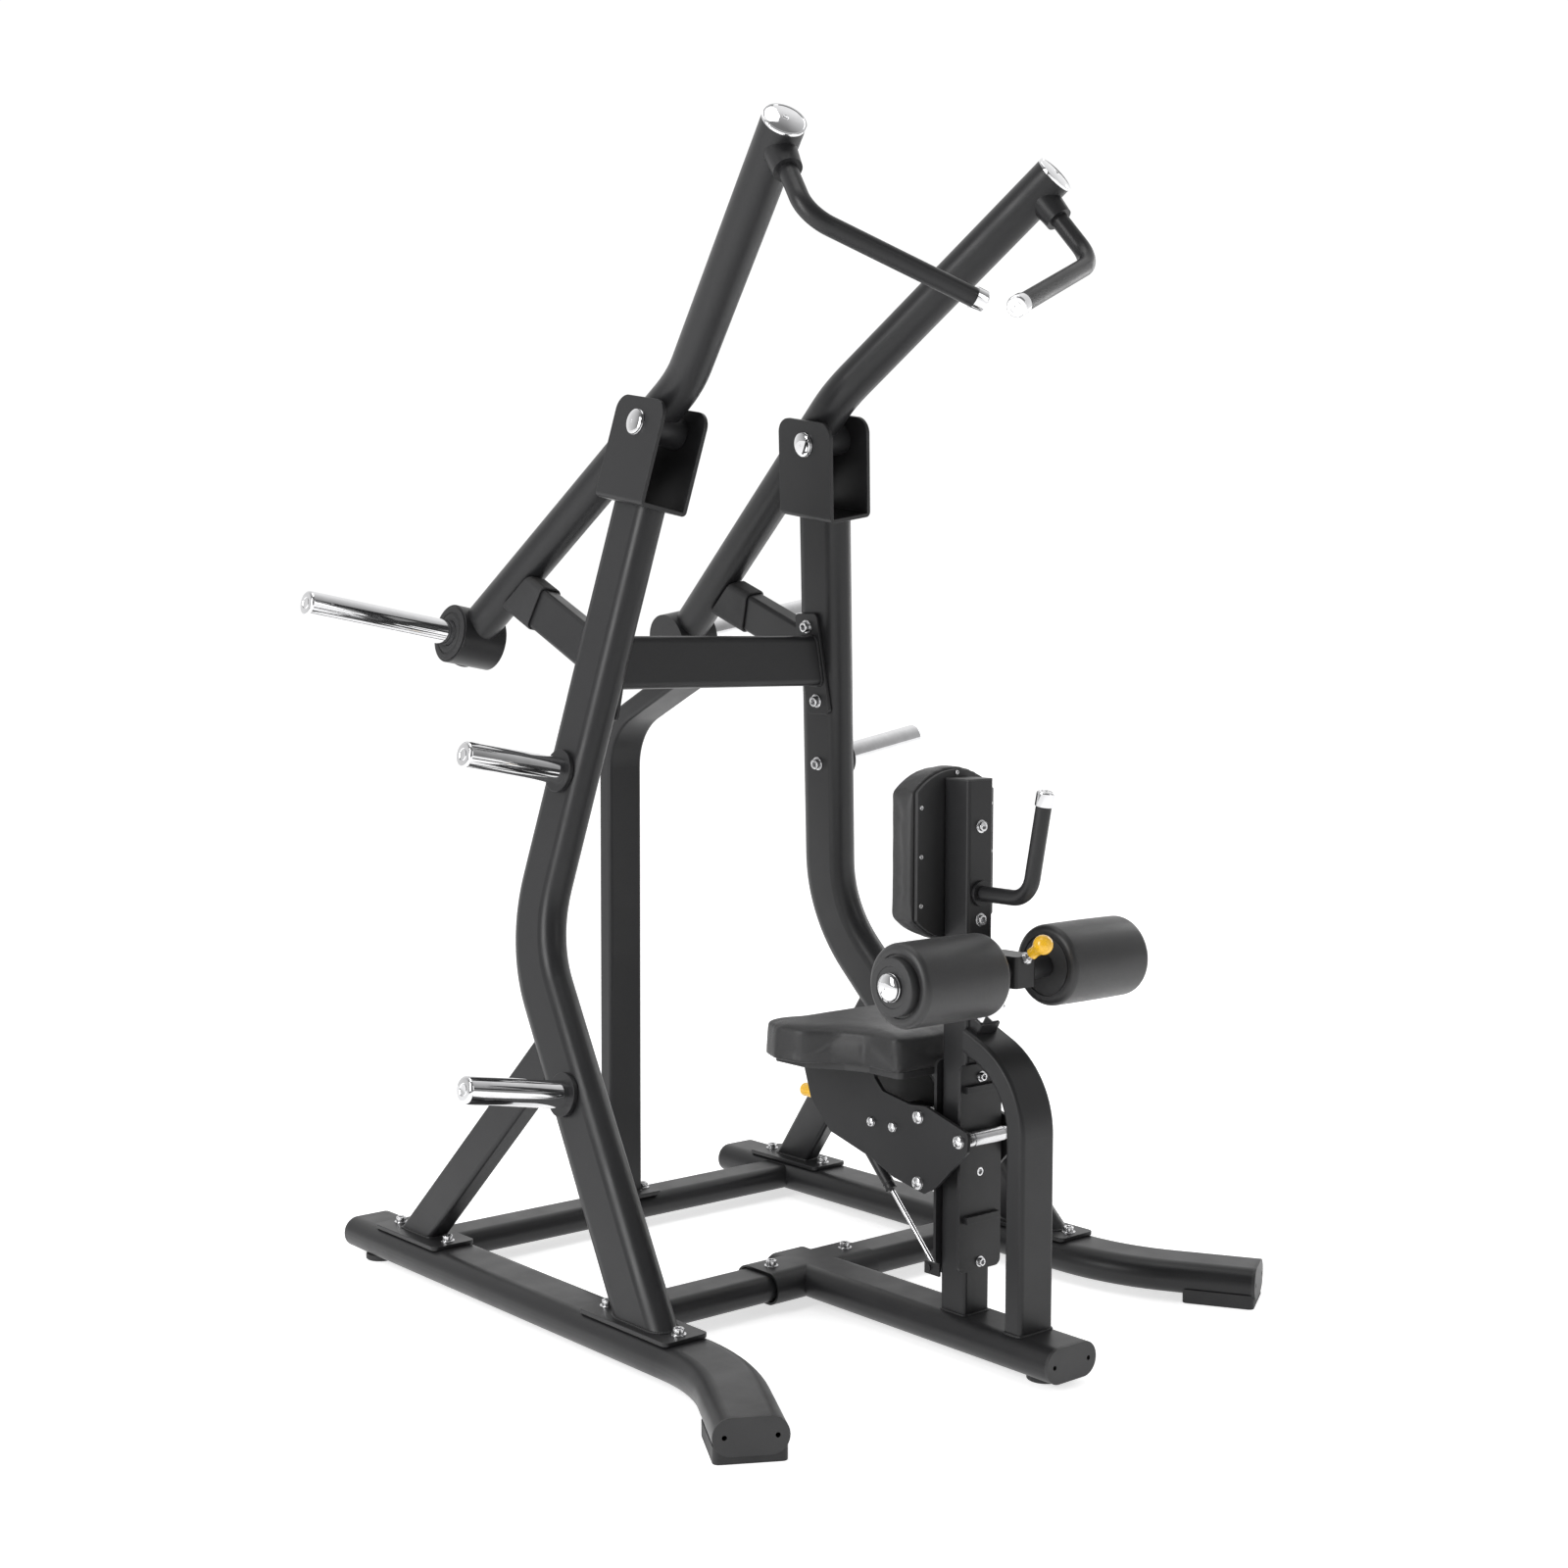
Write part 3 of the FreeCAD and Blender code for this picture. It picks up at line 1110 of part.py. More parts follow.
axle_middle = Vector(0, size.thigh_place, size.thigh_height)
tube_section_thigh = (size.thigh_tube, size.thigh_tube, 5, size.tube_wall)
tube_place = framed(TUBE_HEAD, tube_down, FORWARD)
finish(straight(tube_section_thigh, size.thigh_tube_length, tube_place), "thigh_tube")

BLOCK_HEIGHT = 54
BLOCK_LENGTH = 80
HOUSING_REACH = 72              # the axle housing, middle to end
reach = size.foam_gap / 2 + size.foam_length + size.disc_depth
housing = cylinder(20, 2 * HOUSING_REACH,
                   framed(axle_middle - Vector(HOUSING_REACH, 0, 0), Vector(1, 0, 0), UP))
collar = plate(size.thigh_tube + 12, BLOCK_LENGTH, 8, BLOCK_HEIGHT,
               at(0, size.thigh_place + 12, size.thigh_height - BLOCK_HEIGHT / 2))
block = fused([collar, housing])
through = framed(axle_middle - Vector(reach, 0, 0), Vector(1, 0, 0), UP)
tube_envelope = straight(tube_section_thigh, size.thigh_tube_length, tube_place, hollow=False)
axle_envelope = cylinder(size.axle_radius, 2 * reach, through)
KNOB_RISE = 36                  # the knob's angle above level, degrees
knob_line = Vector(0, -cosine(KNOB_RISE), sine(KNOB_RISE))
knob_root = axle_middle + Vector(0, -16, 14)
knob_place = framed(knob_root, knob_line, UP)
knob_bore = cylinder(5, 60, knob_place)
finish(without(block, [tube_envelope, axle_envelope, knob_bore]), "thigh_block")

axle_parts = [cylinder(size.axle_radius, 2 * reach, through)]
for name, side in SIDES:
    face = framed(axle_middle + Vector(side * (reach + 0.5), 0, 0), Vector(side, 0, 0), UP)
    axle_parts.append(cylinder(size.axle_radius, 1, face * at(0, 0, -0.75)))
    axle_parts.append(cylinder(24, 8, face))
    axle_parts.append(dome(24, 5, face * at(0, 0, 8)))
finish(fused(axle_parts), "thigh_axle")
for name, side in SIDES:
    outward = Vector(side, 0, 0)
    foam_place = framed(axle_middle + outward * (size.foam_gap / 2), outward, UP)
    foam = fused([cylinder(size.foam_radius, size.foam_length, foam_place),
                  cylinder(size.disc_radius, size.foam_length + size.disc_depth, foam_place)])
    foam_bore = cylinder(size.axle_radius + size.running_clearance,
                         size.foam_length + size.disc_depth, foam_place)
    finish(without(foam, [foam_bore]), "thigh_roller_" + name)

stem = cylinder(4.9, 26, knob_place * at(0, 0, 3))
neck_start = 29
neck = cylinder(9, 20, knob_place * at(0, 0, neck_start))
ball = doc.addObject("Part::Sphere", "ball")
bind(ball, Radius=size.knob_radius + 4)
ball.Placement = knob_place * at(0, 0, neck_start + 32)
finish(grouped([fused([stem, neck, ball])]), "thigh_knob")


# ---------------------------------------------------------------- check and write

doc.recompute()
for made in doc.Objects:
    if "Invalid" in made.State or "Error" in made.State:
        raise RuntimeError("%s (%s) did not build: %s" % (made.Name, made.Label, made.State))
for made in PARTS:
    if made.Shape.isNull() or not made.Shape.isValid() or not made.Shape.Solids:
        raise RuntimeError("%s has no valid solid" % made.Label)

os.makedirs("parts", exist_ok=True)
for made in PARTS:
    made.Shape.exportStep("parts/%s.step" % made.Label)
print("%d sub-parts written" % len(PARTS))
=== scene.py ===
import json
import math

import bmesh
import bpy
import numpy as np
from bpy.props import FloatProperty, FloatVectorProperty, IntProperty, PointerProperty
from mathutils import Matrix, Vector, noise


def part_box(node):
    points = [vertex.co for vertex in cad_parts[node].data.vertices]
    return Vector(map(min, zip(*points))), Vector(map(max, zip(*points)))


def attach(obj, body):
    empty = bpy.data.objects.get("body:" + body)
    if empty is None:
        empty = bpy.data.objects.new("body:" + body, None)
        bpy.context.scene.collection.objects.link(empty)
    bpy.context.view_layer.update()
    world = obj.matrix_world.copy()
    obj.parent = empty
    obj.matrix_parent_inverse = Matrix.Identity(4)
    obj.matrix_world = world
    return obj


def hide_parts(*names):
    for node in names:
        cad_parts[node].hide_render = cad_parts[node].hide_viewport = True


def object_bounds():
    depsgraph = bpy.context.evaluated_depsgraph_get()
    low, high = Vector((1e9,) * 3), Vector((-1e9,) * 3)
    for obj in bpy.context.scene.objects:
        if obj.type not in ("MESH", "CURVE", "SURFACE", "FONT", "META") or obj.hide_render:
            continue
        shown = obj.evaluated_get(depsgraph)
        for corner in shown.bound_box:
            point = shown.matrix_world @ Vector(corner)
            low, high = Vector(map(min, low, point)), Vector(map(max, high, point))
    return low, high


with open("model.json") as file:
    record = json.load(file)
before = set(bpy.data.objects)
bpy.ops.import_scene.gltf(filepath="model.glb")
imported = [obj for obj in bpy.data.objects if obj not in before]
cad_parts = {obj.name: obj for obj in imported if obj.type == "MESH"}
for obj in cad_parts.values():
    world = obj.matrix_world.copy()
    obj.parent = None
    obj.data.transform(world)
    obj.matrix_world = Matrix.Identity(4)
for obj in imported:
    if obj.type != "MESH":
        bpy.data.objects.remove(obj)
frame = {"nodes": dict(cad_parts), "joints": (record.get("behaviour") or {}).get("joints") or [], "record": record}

bl_info = {
    "name": "Lat Pulldown Machine",
    "version": (1, 0, 0),
    "blender": (4, 5, 0),
    "location": "View3D > Sidebar > Lat Pulldown",
    "description": "Builds the finished pieces of a plate-loaded lat pulldown machine",
    "category": "Object",
}

CAD_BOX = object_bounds()
NODES = frame["nodes"]
JOINTS = {joint["name"]: joint for joint in frame["joints"]}
BODY_OF = {node: body for body, nodes in frame["record"]["behaviour"]["bodies"].items()
           for node in nodes}
SLOT_OF = {part["node"]: part["material_slot"] for part in frame["record"]["subparts"]}
UP = Vector((0, 0, 1))
SIDES = (("left", -1), ("right", 1))
HORN_RADIUS = 0.025             # for plates with a 50 mm bore


# ------------------------------------------------------------------ settings

class FinishSettings(bpy.types.PropertyGroup):
    """Colours of the finishes."""
    paint: FloatVectorProperty(name="Powder Coat", description="Colour of the frame's paint",
                               subtype="COLOR", default=(0.014, 0.014, 0.015))
    vinyl: FloatVectorProperty(name="Vinyl", description="Colour of the seat and chest covers",
                               subtype="COLOR", default=(0.015, 0.015, 0.016))
    sleeve: FloatVectorProperty(name="Roller Sleeve", description="Colour of the roller covers",
                                subtype="COLOR", default=(0.019, 0.019, 0.02))
    rubber: FloatVectorProperty(name="Rubber", description="Colour of feet and bumpers",
                                subtype="COLOR", default=(0.016, 0.016, 0.017))
    plastic: FloatVectorProperty(name="Plastic", description="Colour of the moulded caps",
                                 subtype="COLOR", default=(0.02, 0.02, 0.021))
    chrome: FloatVectorProperty(name="Chrome", description="Colour of the chrome plating",
                                subtype="COLOR", default=(0.72, 0.72, 0.73))
    steel: FloatVectorProperty(name="Zinc", description="Colour of the plated bolts",
                               subtype="COLOR", default=(0.62, 0.62, 0.63))
    knob: FloatVectorProperty(name="Knobs", description="Colour of the pull knobs",
                              subtype="COLOR", default=(0.86, 0.47, 0.02))


class DetailSettings(bpy.types.PropertyGroup):
    """Sizes of the details that the looks add."""
    plate_edge: FloatProperty(name="Plate Edge", description="Rounding of cut plate edges",
                              default=0.0011, min=0, unit="LENGTH")
    weld_size: FloatProperty(name="Weld Bead", description="Radius of a weld bead",
                             default=0.0032, min=0, unit="LENGTH")
    weld_pitch: FloatProperty(name="Weld Ripple", description="Length of one weld ripple",
                              default=0.0045, min=0.001, unit="LENGTH")
    pad_edge: FloatProperty(name="Pad Edge", description="Rounding of a pad's sewn edge",
                            default=0.006, min=0, unit="LENGTH")
    puff_limit: FloatProperty(name="Puff Limit", description="How far a cover may swell",
                              default=0.0035, min=0, unit="LENGTH")
    puff_pressure: FloatProperty(name="Puff Pressure", description="Air pressure in a cover",
                                 default=4.0, min=0)
    voxel: FloatProperty(name="Cover Mesh", description="Mesh size of a simulated cover",
                         default=0.005, min=0.003, unit="LENGTH")
    turning_steps: IntProperty(name="Turning Steps", description="Faces round a turned piece",
                               default=64, min=16)


def finishes():
    return bpy.context.scene.lat_pulldown_finish


def details():
    return bpy.context.scene.lat_pulldown_detail


# ------------------------------------------------------------------ shader groups

def socket(group, name, direction, kind="NodeSocketFloat", value=None):
    made = group.interface.new_socket(name=name, in_out=direction, socket_type=kind)
    if value is not None:
        made.default_value = value
    return made


def new_group(name, inputs, outputs):
    """A shader group with its input and output nodes."""
    group = bpy.data.node_groups.new(name, "ShaderNodeTree")
    for label, kind, value in inputs:
        socket(group, label, "INPUT", kind, value)
    for label, kind in outputs:
        socket(group, label, "OUTPUT", kind)
    return group, group.nodes.new("NodeGroupInput"), group.nodes.new("NodeGroupOutput")


def add(tree, kind, **values):
    """A node with its properties, and its inputs by name or number."""
    node = tree.nodes.new(kind)
    inputs = values.pop("inputs", {})
    for key, value in values.items():
        setattr(node, key, value)
    for key, value in inputs.items():
        node.inputs[key].default_value = value
    return node


def ranged(tree, source, low, high, to_low=0.0, to_high=1.0):
    """Map a value from one range to another."""
    node = add(tree, "ShaderNodeMapRange", inputs={1: low, 2: high, 3: to_low, 4: to_high})
    tree.links.new(source, node.inputs[0])
    return node.outputs[0]


def math_node(tree, operation, first, second=None):
    node = add(tree, "ShaderNodeMath", operation=operation)
    for index, value in enumerate((first, second)):
        if isinstance(value, bpy.types.NodeSocket):
            tree.links.new(value, node.inputs[index])
        elif value is not None:
            node.inputs[index].default_value = value
    return node.outputs[0]


def mixed(tree, factor, first, second):
    """Mix two colours by a factor socket."""
    node = add(tree, "ShaderNodeMix", data_type="RGBA")
    tree.links.new(factor, node.inputs["Factor"])
    for name, value in (("A", first), ("B", second)):
        target = [item for item in node.inputs if item.name == name and item.type == "RGBA"][0]
        if isinstance(value, bpy.types.NodeSocket):
            tree.links.new(value, target)
        else:
            target.default_value = value
    return [item for item in node.outputs if item.type == "RGBA"][0]


def object_noise(tree, scale, detail=2.0, roughness=0.5):
    place = add(tree, "ShaderNodeTexCoord")
    node = add(tree, "ShaderNodeTexNoise",
               inputs={"Scale": scale, "Detail": detail, "Roughness": roughness})
    tree.links.new(place.outputs["Object"], node.inputs["Vector"])
    return node


def surface_group():
    """Handling marks, edge wear and settled dust, for every hard finish."""
    name = "Worn Surface"
    if name in bpy.data.node_groups:
        return bpy.data.node_groups[name]
    colour = "NodeSocketColor"
    number = "NodeSocketFloat"
    group, given, result = new_group(
        name,
        (("Colour", colour, (0.1, 0.1, 0.1, 1)), ("Worn Colour", colour, (0.2, 0.2, 0.2, 1)),
         ("Edge Wear", number, 0.3), ("Dust", number, 0.1), ("Roughness", number, 0.4),
         ("Roughness Spread", number, 0.08)),
        (("Colour", colour), ("Roughness", number)))
    bevel = add(group, "ShaderNodeBevel", samples=4, inputs={"Radius": 0.0025})
    flat = add(group, "ShaderNodeNewGeometry")
    facing = add(group, "ShaderNodeVectorMath", operation="DOT_PRODUCT")
    group.links.new(bevel.outputs["Normal"], facing.inputs[0])
    group.links.new(flat.outputs["Normal"], facing.inputs[1])
    edge = ranged(group, facing.outputs["Value"], 0.965, 0.8)
    scuffs = ranged(group, object_noise(group, 60, 4, 0.65).outputs["Fac"], 0.42, 0.62)
    wear = math_node(group, "MULTIPLY", math_node(group, "MULTIPLY", edge, scuffs),
                     given.outputs["Edge Wear"])
    split = add(group, "ShaderNodeSeparateXYZ")
    group.links.new(flat.outputs["Normal"], split.inputs[0])
    level = ranged(group, split.outputs["Z"], 0.55, 1.0)
    patches = ranged(group, object_noise(group, 9, 5, 0.6).outputs["Fac"], 0.35, 0.75)
    dust = math_node(group, "MULTIPLY", math_node(group, "MULTIPLY", level, patches),
                     given.outputs["Dust"])
    worn = mixed(group, wear, given.outputs["Colour"], given.outputs["Worn Colour"])
    group.links.new(mixed(group, dust, worn, (0.32, 0.31, 0.29, 1)), result.inputs["Colour"])
    clouds = ranged(group, object_noise(group, 14, 3, 0.55).outputs["Fac"], 0.3, 0.7, -1, 1)
    spread = math_node(group, "MULTIPLY", clouds, given.outputs["Roughness Spread"])
    rough = math_node(group, "ADD", math_node(group, "ADD", given.outputs["Roughness"], spread),
                      math_node(group, "MULTIPLY", dust, 0.5))
    group.links.new(rough, result.inputs["Roughness"])
    return group


def sand_group():
    """The fine pebbled surface of powder coat and moulded rubber."""
    name = "Sand Texture"
    if name in bpy.data.node_groups:
        return bpy.data.node_groups[name]
    group, given, result = new_group(
        name, (("Grain Size", "NodeSocketFloat", 900.0),),
        (("Height", "NodeSocketFloat"), ("Speckle", "NodeSocketFloat")))
    place = add(group, "ShaderNodeTexCoord")
    fine = add(group, "ShaderNodeTexNoise", inputs={"Detail": 2.0, "Roughness": 0.6})
    pebbles = add(group, "ShaderNodeTexVoronoi", feature="SMOOTH_F1", inputs={"Smoothness": 0.6})
    for node in (fine, pebbles):
        group.links.new(place.outputs["Object"], node.inputs["Vector"])
        group.links.new(given.outputs["Grain Size"], node.inputs["Scale"])
    height = math_node(group, "ADD", fine.outputs["Fac"],
                       math_node(group, "MULTIPLY", pebbles.outputs["Distance"], -0.6))
    group.links.new(height, result.inputs["Height"])
    group.links.new(ranged(group, fine.outputs["Fac"], 0.3, 0.7), result.inputs["Speckle"])
    return group


def hide_group():
    """Leather-like grain: cells with creases, on a slow rise and fall."""
    name = "Vinyl Grain"
    if name in bpy.data.node_groups:
        return bpy.data.node_groups[name]
    group, given, result = new_group(
        name, (("Cell Size", "NodeSocketFloat", 520.0), ("Crease", "NodeSocketFloat", 0.5)),
        (("Height", "NodeSocketFloat"), ("Valley", "NodeSocketFloat")))
    place = add(group, "ShaderNodeTexCoord")
    warp = object_noise(group, 130, 3, 0.6)
    shift = add(group, "ShaderNodeVectorMath", operation="SCALE")
    shift.inputs["Scale"].default_value = 0.003
    group.links.new(warp.outputs["Color"], shift.inputs[0])
    moved = add(group, "ShaderNodeVectorMath", operation="ADD")
    group.links.new(place.outputs["Object"], moved.inputs[0])
    group.links.new(shift.outputs[0], moved.inputs[1])
    cells = add(group, "ShaderNodeTexVoronoi", feature="DISTANCE_TO_EDGE")
    group.links.new(moved.outputs[0], cells.inputs["Vector"])
    group.links.new(given.outputs["Cell Size"], cells.inputs["Scale"])
    crease = ranged(group, cells.outputs["Distance"], 0.0, 0.16)
    slow = object_noise(group, 46, 3, 0.5)
    height = math_node(group, "ADD", math_node(group, "MULTIPLY", crease, given.outputs["Crease"]),
                       math_node(group, "MULTIPLY", slow.outputs["Fac"], 0.6))
    group.links.new(height, result.inputs["Height"])
    # Valley is 1 in the creases: it darkens the colour there as painted shade, and it dulls the roughness
    group.links.new(ranged(group, crease, 0.0, 1.0, 1.0, 0.0), result.inputs["Valley"])
    return group


# ------------------------------------------------------------------ materials

def hard_material(name, colour, worn, metallic=0.0, roughness=0.4, spread=0.06, wear=0.3,
                  dust=0.05, grain=900.0, bump=0.2, depth=0.0002, contrast=0.22, **shader):
    """A painted, plated, moulded or rubber finish."""
    if name in bpy.data.materials:
        return bpy.data.materials[name]
    material = bpy.data.materials.new(name)
    material.use_nodes = True
    material.diffuse_color = (*colour, 1)
    tree = material.node_tree
    principled = tree.nodes["Principled BSDF"]
    principled.inputs["Metallic"].default_value = metallic
    for key, value in shader.items():
        principled.inputs[key].default_value = value
    sand = add(tree, "ShaderNodeGroup", node_tree=sand_group(), inputs={"Grain Size": grain})
    surface = add(tree, "ShaderNodeGroup", node_tree=surface_group(), inputs={
        "Worn Colour": (*worn, 1), "Edge Wear": wear, "Dust": dust,
        "Roughness": roughness, "Roughness Spread": spread})
    dark, light = ([min(1, channel * (1 + shift)) for channel in colour] + [1]
                   for shift in (-contrast, contrast))
    speckled = mixed(tree, sand.outputs["Speckle"], dark, light)
    tree.links.new(speckled, surface.inputs["Colour"])
    tree.links.new(surface.outputs["Colour"], principled.inputs["Base Color"])
    tree.links.new(surface.outputs["Roughness"], principled.inputs["Roughness"])
    if bump:
        relief = add(tree, "ShaderNodeBump", inputs={"Strength": bump, "Distance": depth})
        tree.links.new(sand.outputs["Height"], relief.inputs["Height"])
        tree.links.new(relief.outputs["Normal"], principled.inputs["Normal"])
    return material


def vinyl_material(name, colour, cell, crease, roughness, bump):
    """Upholstery vinyl with its grain, painted shade in the grain's valleys, a soft sheen and rubbed patches."""
    if name in bpy.data.materials:
        return bpy.data.materials[name]
    material = bpy.data.materials.new(name)
    material.use_nodes = True
    material.diffuse_color = (*colour, 1)
    tree = material.node_tree
    principled = tree.nodes["Principled BSDF"]
    principled.inputs["Sheen Weight"].default_value = 0.06
    principled.inputs["Sheen Roughness"].default_value = 0.4
    principled.inputs["Coat Weight"].default_value = 0.05
    principled.inputs["Coat Roughness"].default_value = 0.3
    hide = add(tree, "ShaderNodeGroup", node_tree=hide_group(),
               inputs={"Cell Size": cell, "Crease": crease})
    rubbed = ranged(tree, object_noise(tree, 7, 4, 0.55).outputs["Fac"], 0.35, 0.7)
    warm = (colour[0] * 1.35, colour[1] * 1.33, colour[2] * 1.3, 1)
    base = mixed(tree, rubbed, (*colour, 1), warm)
    # painted shade: the grain's valleys are darkened to 55 % of the vinyl colour
    valley_shade = (*[channel * 0.55 for channel in colour], 1)
    tree.links.new(mixed(tree, hide.outputs["Valley"], base, valley_shade), principled.inputs["Base Color"])
    gloss = ranged(tree, rubbed, 0.0, 1.0, roughness + 0.05, roughness - 0.05)
    dull = math_node(tree, "ADD", gloss, math_node(tree, "MULTIPLY", hide.outputs["Valley"], 0.15))
    tree.links.new(dull, principled.inputs["Roughness"])
    relief = add(tree, "ShaderNodeBump", inputs={"Strength": bump, "Distance": 0.0004})
    tree.links.new(hide.outputs["Height"], relief.inputs["Height"])
    tree.links.new(relief.outputs["Normal"], principled.inputs["Normal"])
    return material


def material_for(slot):
    """The material of a record slot."""
    tone = finishes()
    if slot == "frame_paint":
        return hard_material("Powder Coat", tone.paint, (0.075, 0.075, 0.078), roughness=0.38,
                             spread=0.04, wear=0.4, dust=0.02, grain=850, bump=0.16,
                             **{"Specular IOR Level": 0.34})
    if slot == "chrome":
        return hard_material("Chrome", tone.chrome, (0.6, 0.6, 0.6), metallic=1.0, roughness=0.06,
                             spread=0.02, wear=0.12, dust=0.01, grain=40, bump=0, contrast=0.05)
    if slot == "bright_steel":
        return hard_material("Zinc Plate", tone.steel, (0.4, 0.4, 0.4), metallic=1.0,
                             roughness=0.24, spread=0.08, wear=0.3, dust=0.02, grain=1200, bump=0.06)
    if slot == "rubber":
        return hard_material("Rubber", tone.rubber, (0.03, 0.03, 0.03), roughness=0.66,
                             spread=0.08, wear=0.3, dust=0.1, grain=700, bump=0.3)
    if slot == "cap_plastic":
        return hard_material("Moulded Plastic", tone.plastic, (0.05, 0.05, 0.05), roughness=0.5,
                             spread=0.06, wear=0.25, dust=0.06, grain=1100, bump=0.2)
    if slot == "yellow_plastic":
        return hard_material("Knob Plastic", tone.knob, (0.7, 0.45, 0.1), roughness=0.26,
                             spread=0.06, wear=0.2, dust=0.02, grain=500, bump=0.05,
                             **{"Coat Weight": 0.3, "Coat Roughness": 0.1})
    if slot == "vinyl":
        return vinyl_material("Pad Vinyl", tone.vinyl, 620, 0.5, 0.44, 0.4)
    return vinyl_material("Roller Vinyl", tone.sleeve, 950, 0.35, 0.38, 0.22)


# ------------------------------------------------------------------ mesh helpers

def aimed(point, direction):
    """A matrix that carries +Z to the direction, at the point."""
    return Matrix.Translation(point) @ Vector(direction).to_track_quat("Z", "Y").to_matrix().to_4x4()


def piece(name, mesh, body, slot, replaces=(), crease=35.0, weighted=False):
    """Turn a bmesh into a finished piece that rides on its body."""
    bmesh.ops.recalc_face_normals(mesh, faces=mesh.faces)
    data = bpy.data.meshes.new(name)
    mesh.to_mesh(data)
    mesh.free()
    data.shade_smooth()
    data.set_sharp_from_angle(angle=math.radians(crease))
    data.materials.append(material_for(slot))
    made = bpy.data.objects.new(name, data)
    bpy.context.scene.collection.objects.link(made)
    if weighted:
        even = made.modifiers.new("Even Shading", "WEIGHTED_NORMAL")
        even.keep_sharp = True
    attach(made, body)
    if replaces:
        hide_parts(*replaces)
    return made


def turned(mesh, profile, matrix, steps=None):
    """Spin a profile of (radius, height) points about Z and place it. Returns its vertices."""
    steps = steps or details().turning_steps
    part = bmesh.new()
    points = [part.verts.new((radius, 0, height)) for radius, height in profile]
    edges = [part.edges.new(pair) for pair in zip(points, points[1:])]
    bmesh.ops.spin(part, geom=points + edges, cent=(0, 0, 0), axis=(0, 0, 1), dvec=(0, 0, 0),
                   angle=2 * math.pi, steps=steps, use_merge=True, use_duplicate=False)
    bmesh.ops.remove_doubles(part, verts=part.verts, dist=1e-6)
    bmesh.ops.recalc_face_normals(part, faces=part.faces)
    return absorbed(mesh, part, matrix)


def absorbed(mesh, part, matrix):
    """Add a finished part to a mesh at a place."""
    bmesh.ops.transform(part, matrix=matrix, verts=part.verts)
    data = bpy.data.meshes.new("part")
    part.to_mesh(data)
    part.free()
    before = len(mesh.verts)
    mesh.from_mesh(data)
    bpy.data.meshes.remove(data)
    mesh.verts.ensure_lookup_table()
    return mesh.verts[before:]


def arc(centre_r, centre_z, radius, start, end, steps=6):
    """Points of a quarter or other arc in a (radius, height) profile, angles in degrees."""
    return [(centre_r + radius * math.cos(math.radians(start + (end - start) * i / steps)),
             centre_z + radius * math.sin(math.radians(start + (end - start) * i / steps)))
            for i in range(steps + 1)]


def merged_copy(node):
    """A bmesh copy of a CAD node with its triangles joined into faces."""
    mesh = bmesh.new()
    mesh.from_mesh(NODES[node].data)
    bmesh.ops.remove_doubles(mesh, verts=mesh.verts, dist=2e-6)
    bmesh.ops.dissolve_limit(mesh, angle_limit=math.radians(0.6), verts=mesh.verts,
                             edges=mesh.edges, use_dissolve_boundaries=False, delimit={"NORMAL"})
    return mesh


def islands(node):
    """The points of each separate solid of a CAD node, as arrays."""
    mesh = bmesh.new()
    mesh.from_mesh(NODES[node].data)
    bmesh.ops.remove_doubles(mesh, verts=mesh.verts, dist=2e-6)
    found = []
    unseen = set(mesh.verts)
    for seed in mesh.verts:
        if seed not in unseen:
            continue
        unseen.discard(seed)
        queue = [seed]
        points = []
        while queue:
            vert = queue.pop()
            points.append(vert.co[:])
            for edge in vert.link_edges:
                other = edge.other_vert(vert)
                if other in unseen:
                    unseen.discard(other)
                    queue.append(other)
        found.append(np.array(points))
    mesh.free()
    return found


def turned_axis(points):
    """The centre, axis and sizes of a short turned solid; the axis points to its narrow end."""
    centre = (points.min(0) + points.max(0)) / 2
    spread, directions = np.linalg.eigh(np.cov((points - points.mean(0)).T))
    gaps = (abs(spread[1] - spread[0]), abs(spread[2] - spread[1]))
    axis = directions[:, 2] if gaps[0] < gaps[1] else directions[:, 0]
    along = (points - centre) @ axis
    across = np.linalg.norm((points - centre) - np.outer(along, axis), axis=1)
    low = across[along < along.min() + 0.0004].max()
    high = across[along > along.max() - 0.0004].max()
    if high > low:
        axis = -axis
        along = -along
    centre = centre + axis * (along.max() + along.min()) / 2
    return Vector(centre), Vector(axis), along.max() - along.min(), across.max()


def face_outline(points, direction, depth=0.0004):
    """The outer outline of a solid's end face in a direction, in order round it."""
    direction = np.array(direction, float)
    height = points @ direction
    face = points[height > height.max() - depth]
    centre = (face.min(0) + face.max(0)) / 2
    frame_matrix = np.array(Vector(direction).to_track_quat("Z", "Y").to_matrix())
    flat = (face - centre) @ frame_matrix
    angle = np.arctan2(flat[:, 1], flat[:, 0])
    reach = np.linalg.norm(flat[:, :2], axis=1)
    outline = []
    for index in np.argsort(angle):
        beside = np.abs((angle - angle[index] + math.pi) % (2 * math.pi) - math.pi) < 0.06
        if reach[index] >= reach[beside].max() * 0.93:
            outline.append(Vector(face[index]))
    return outline


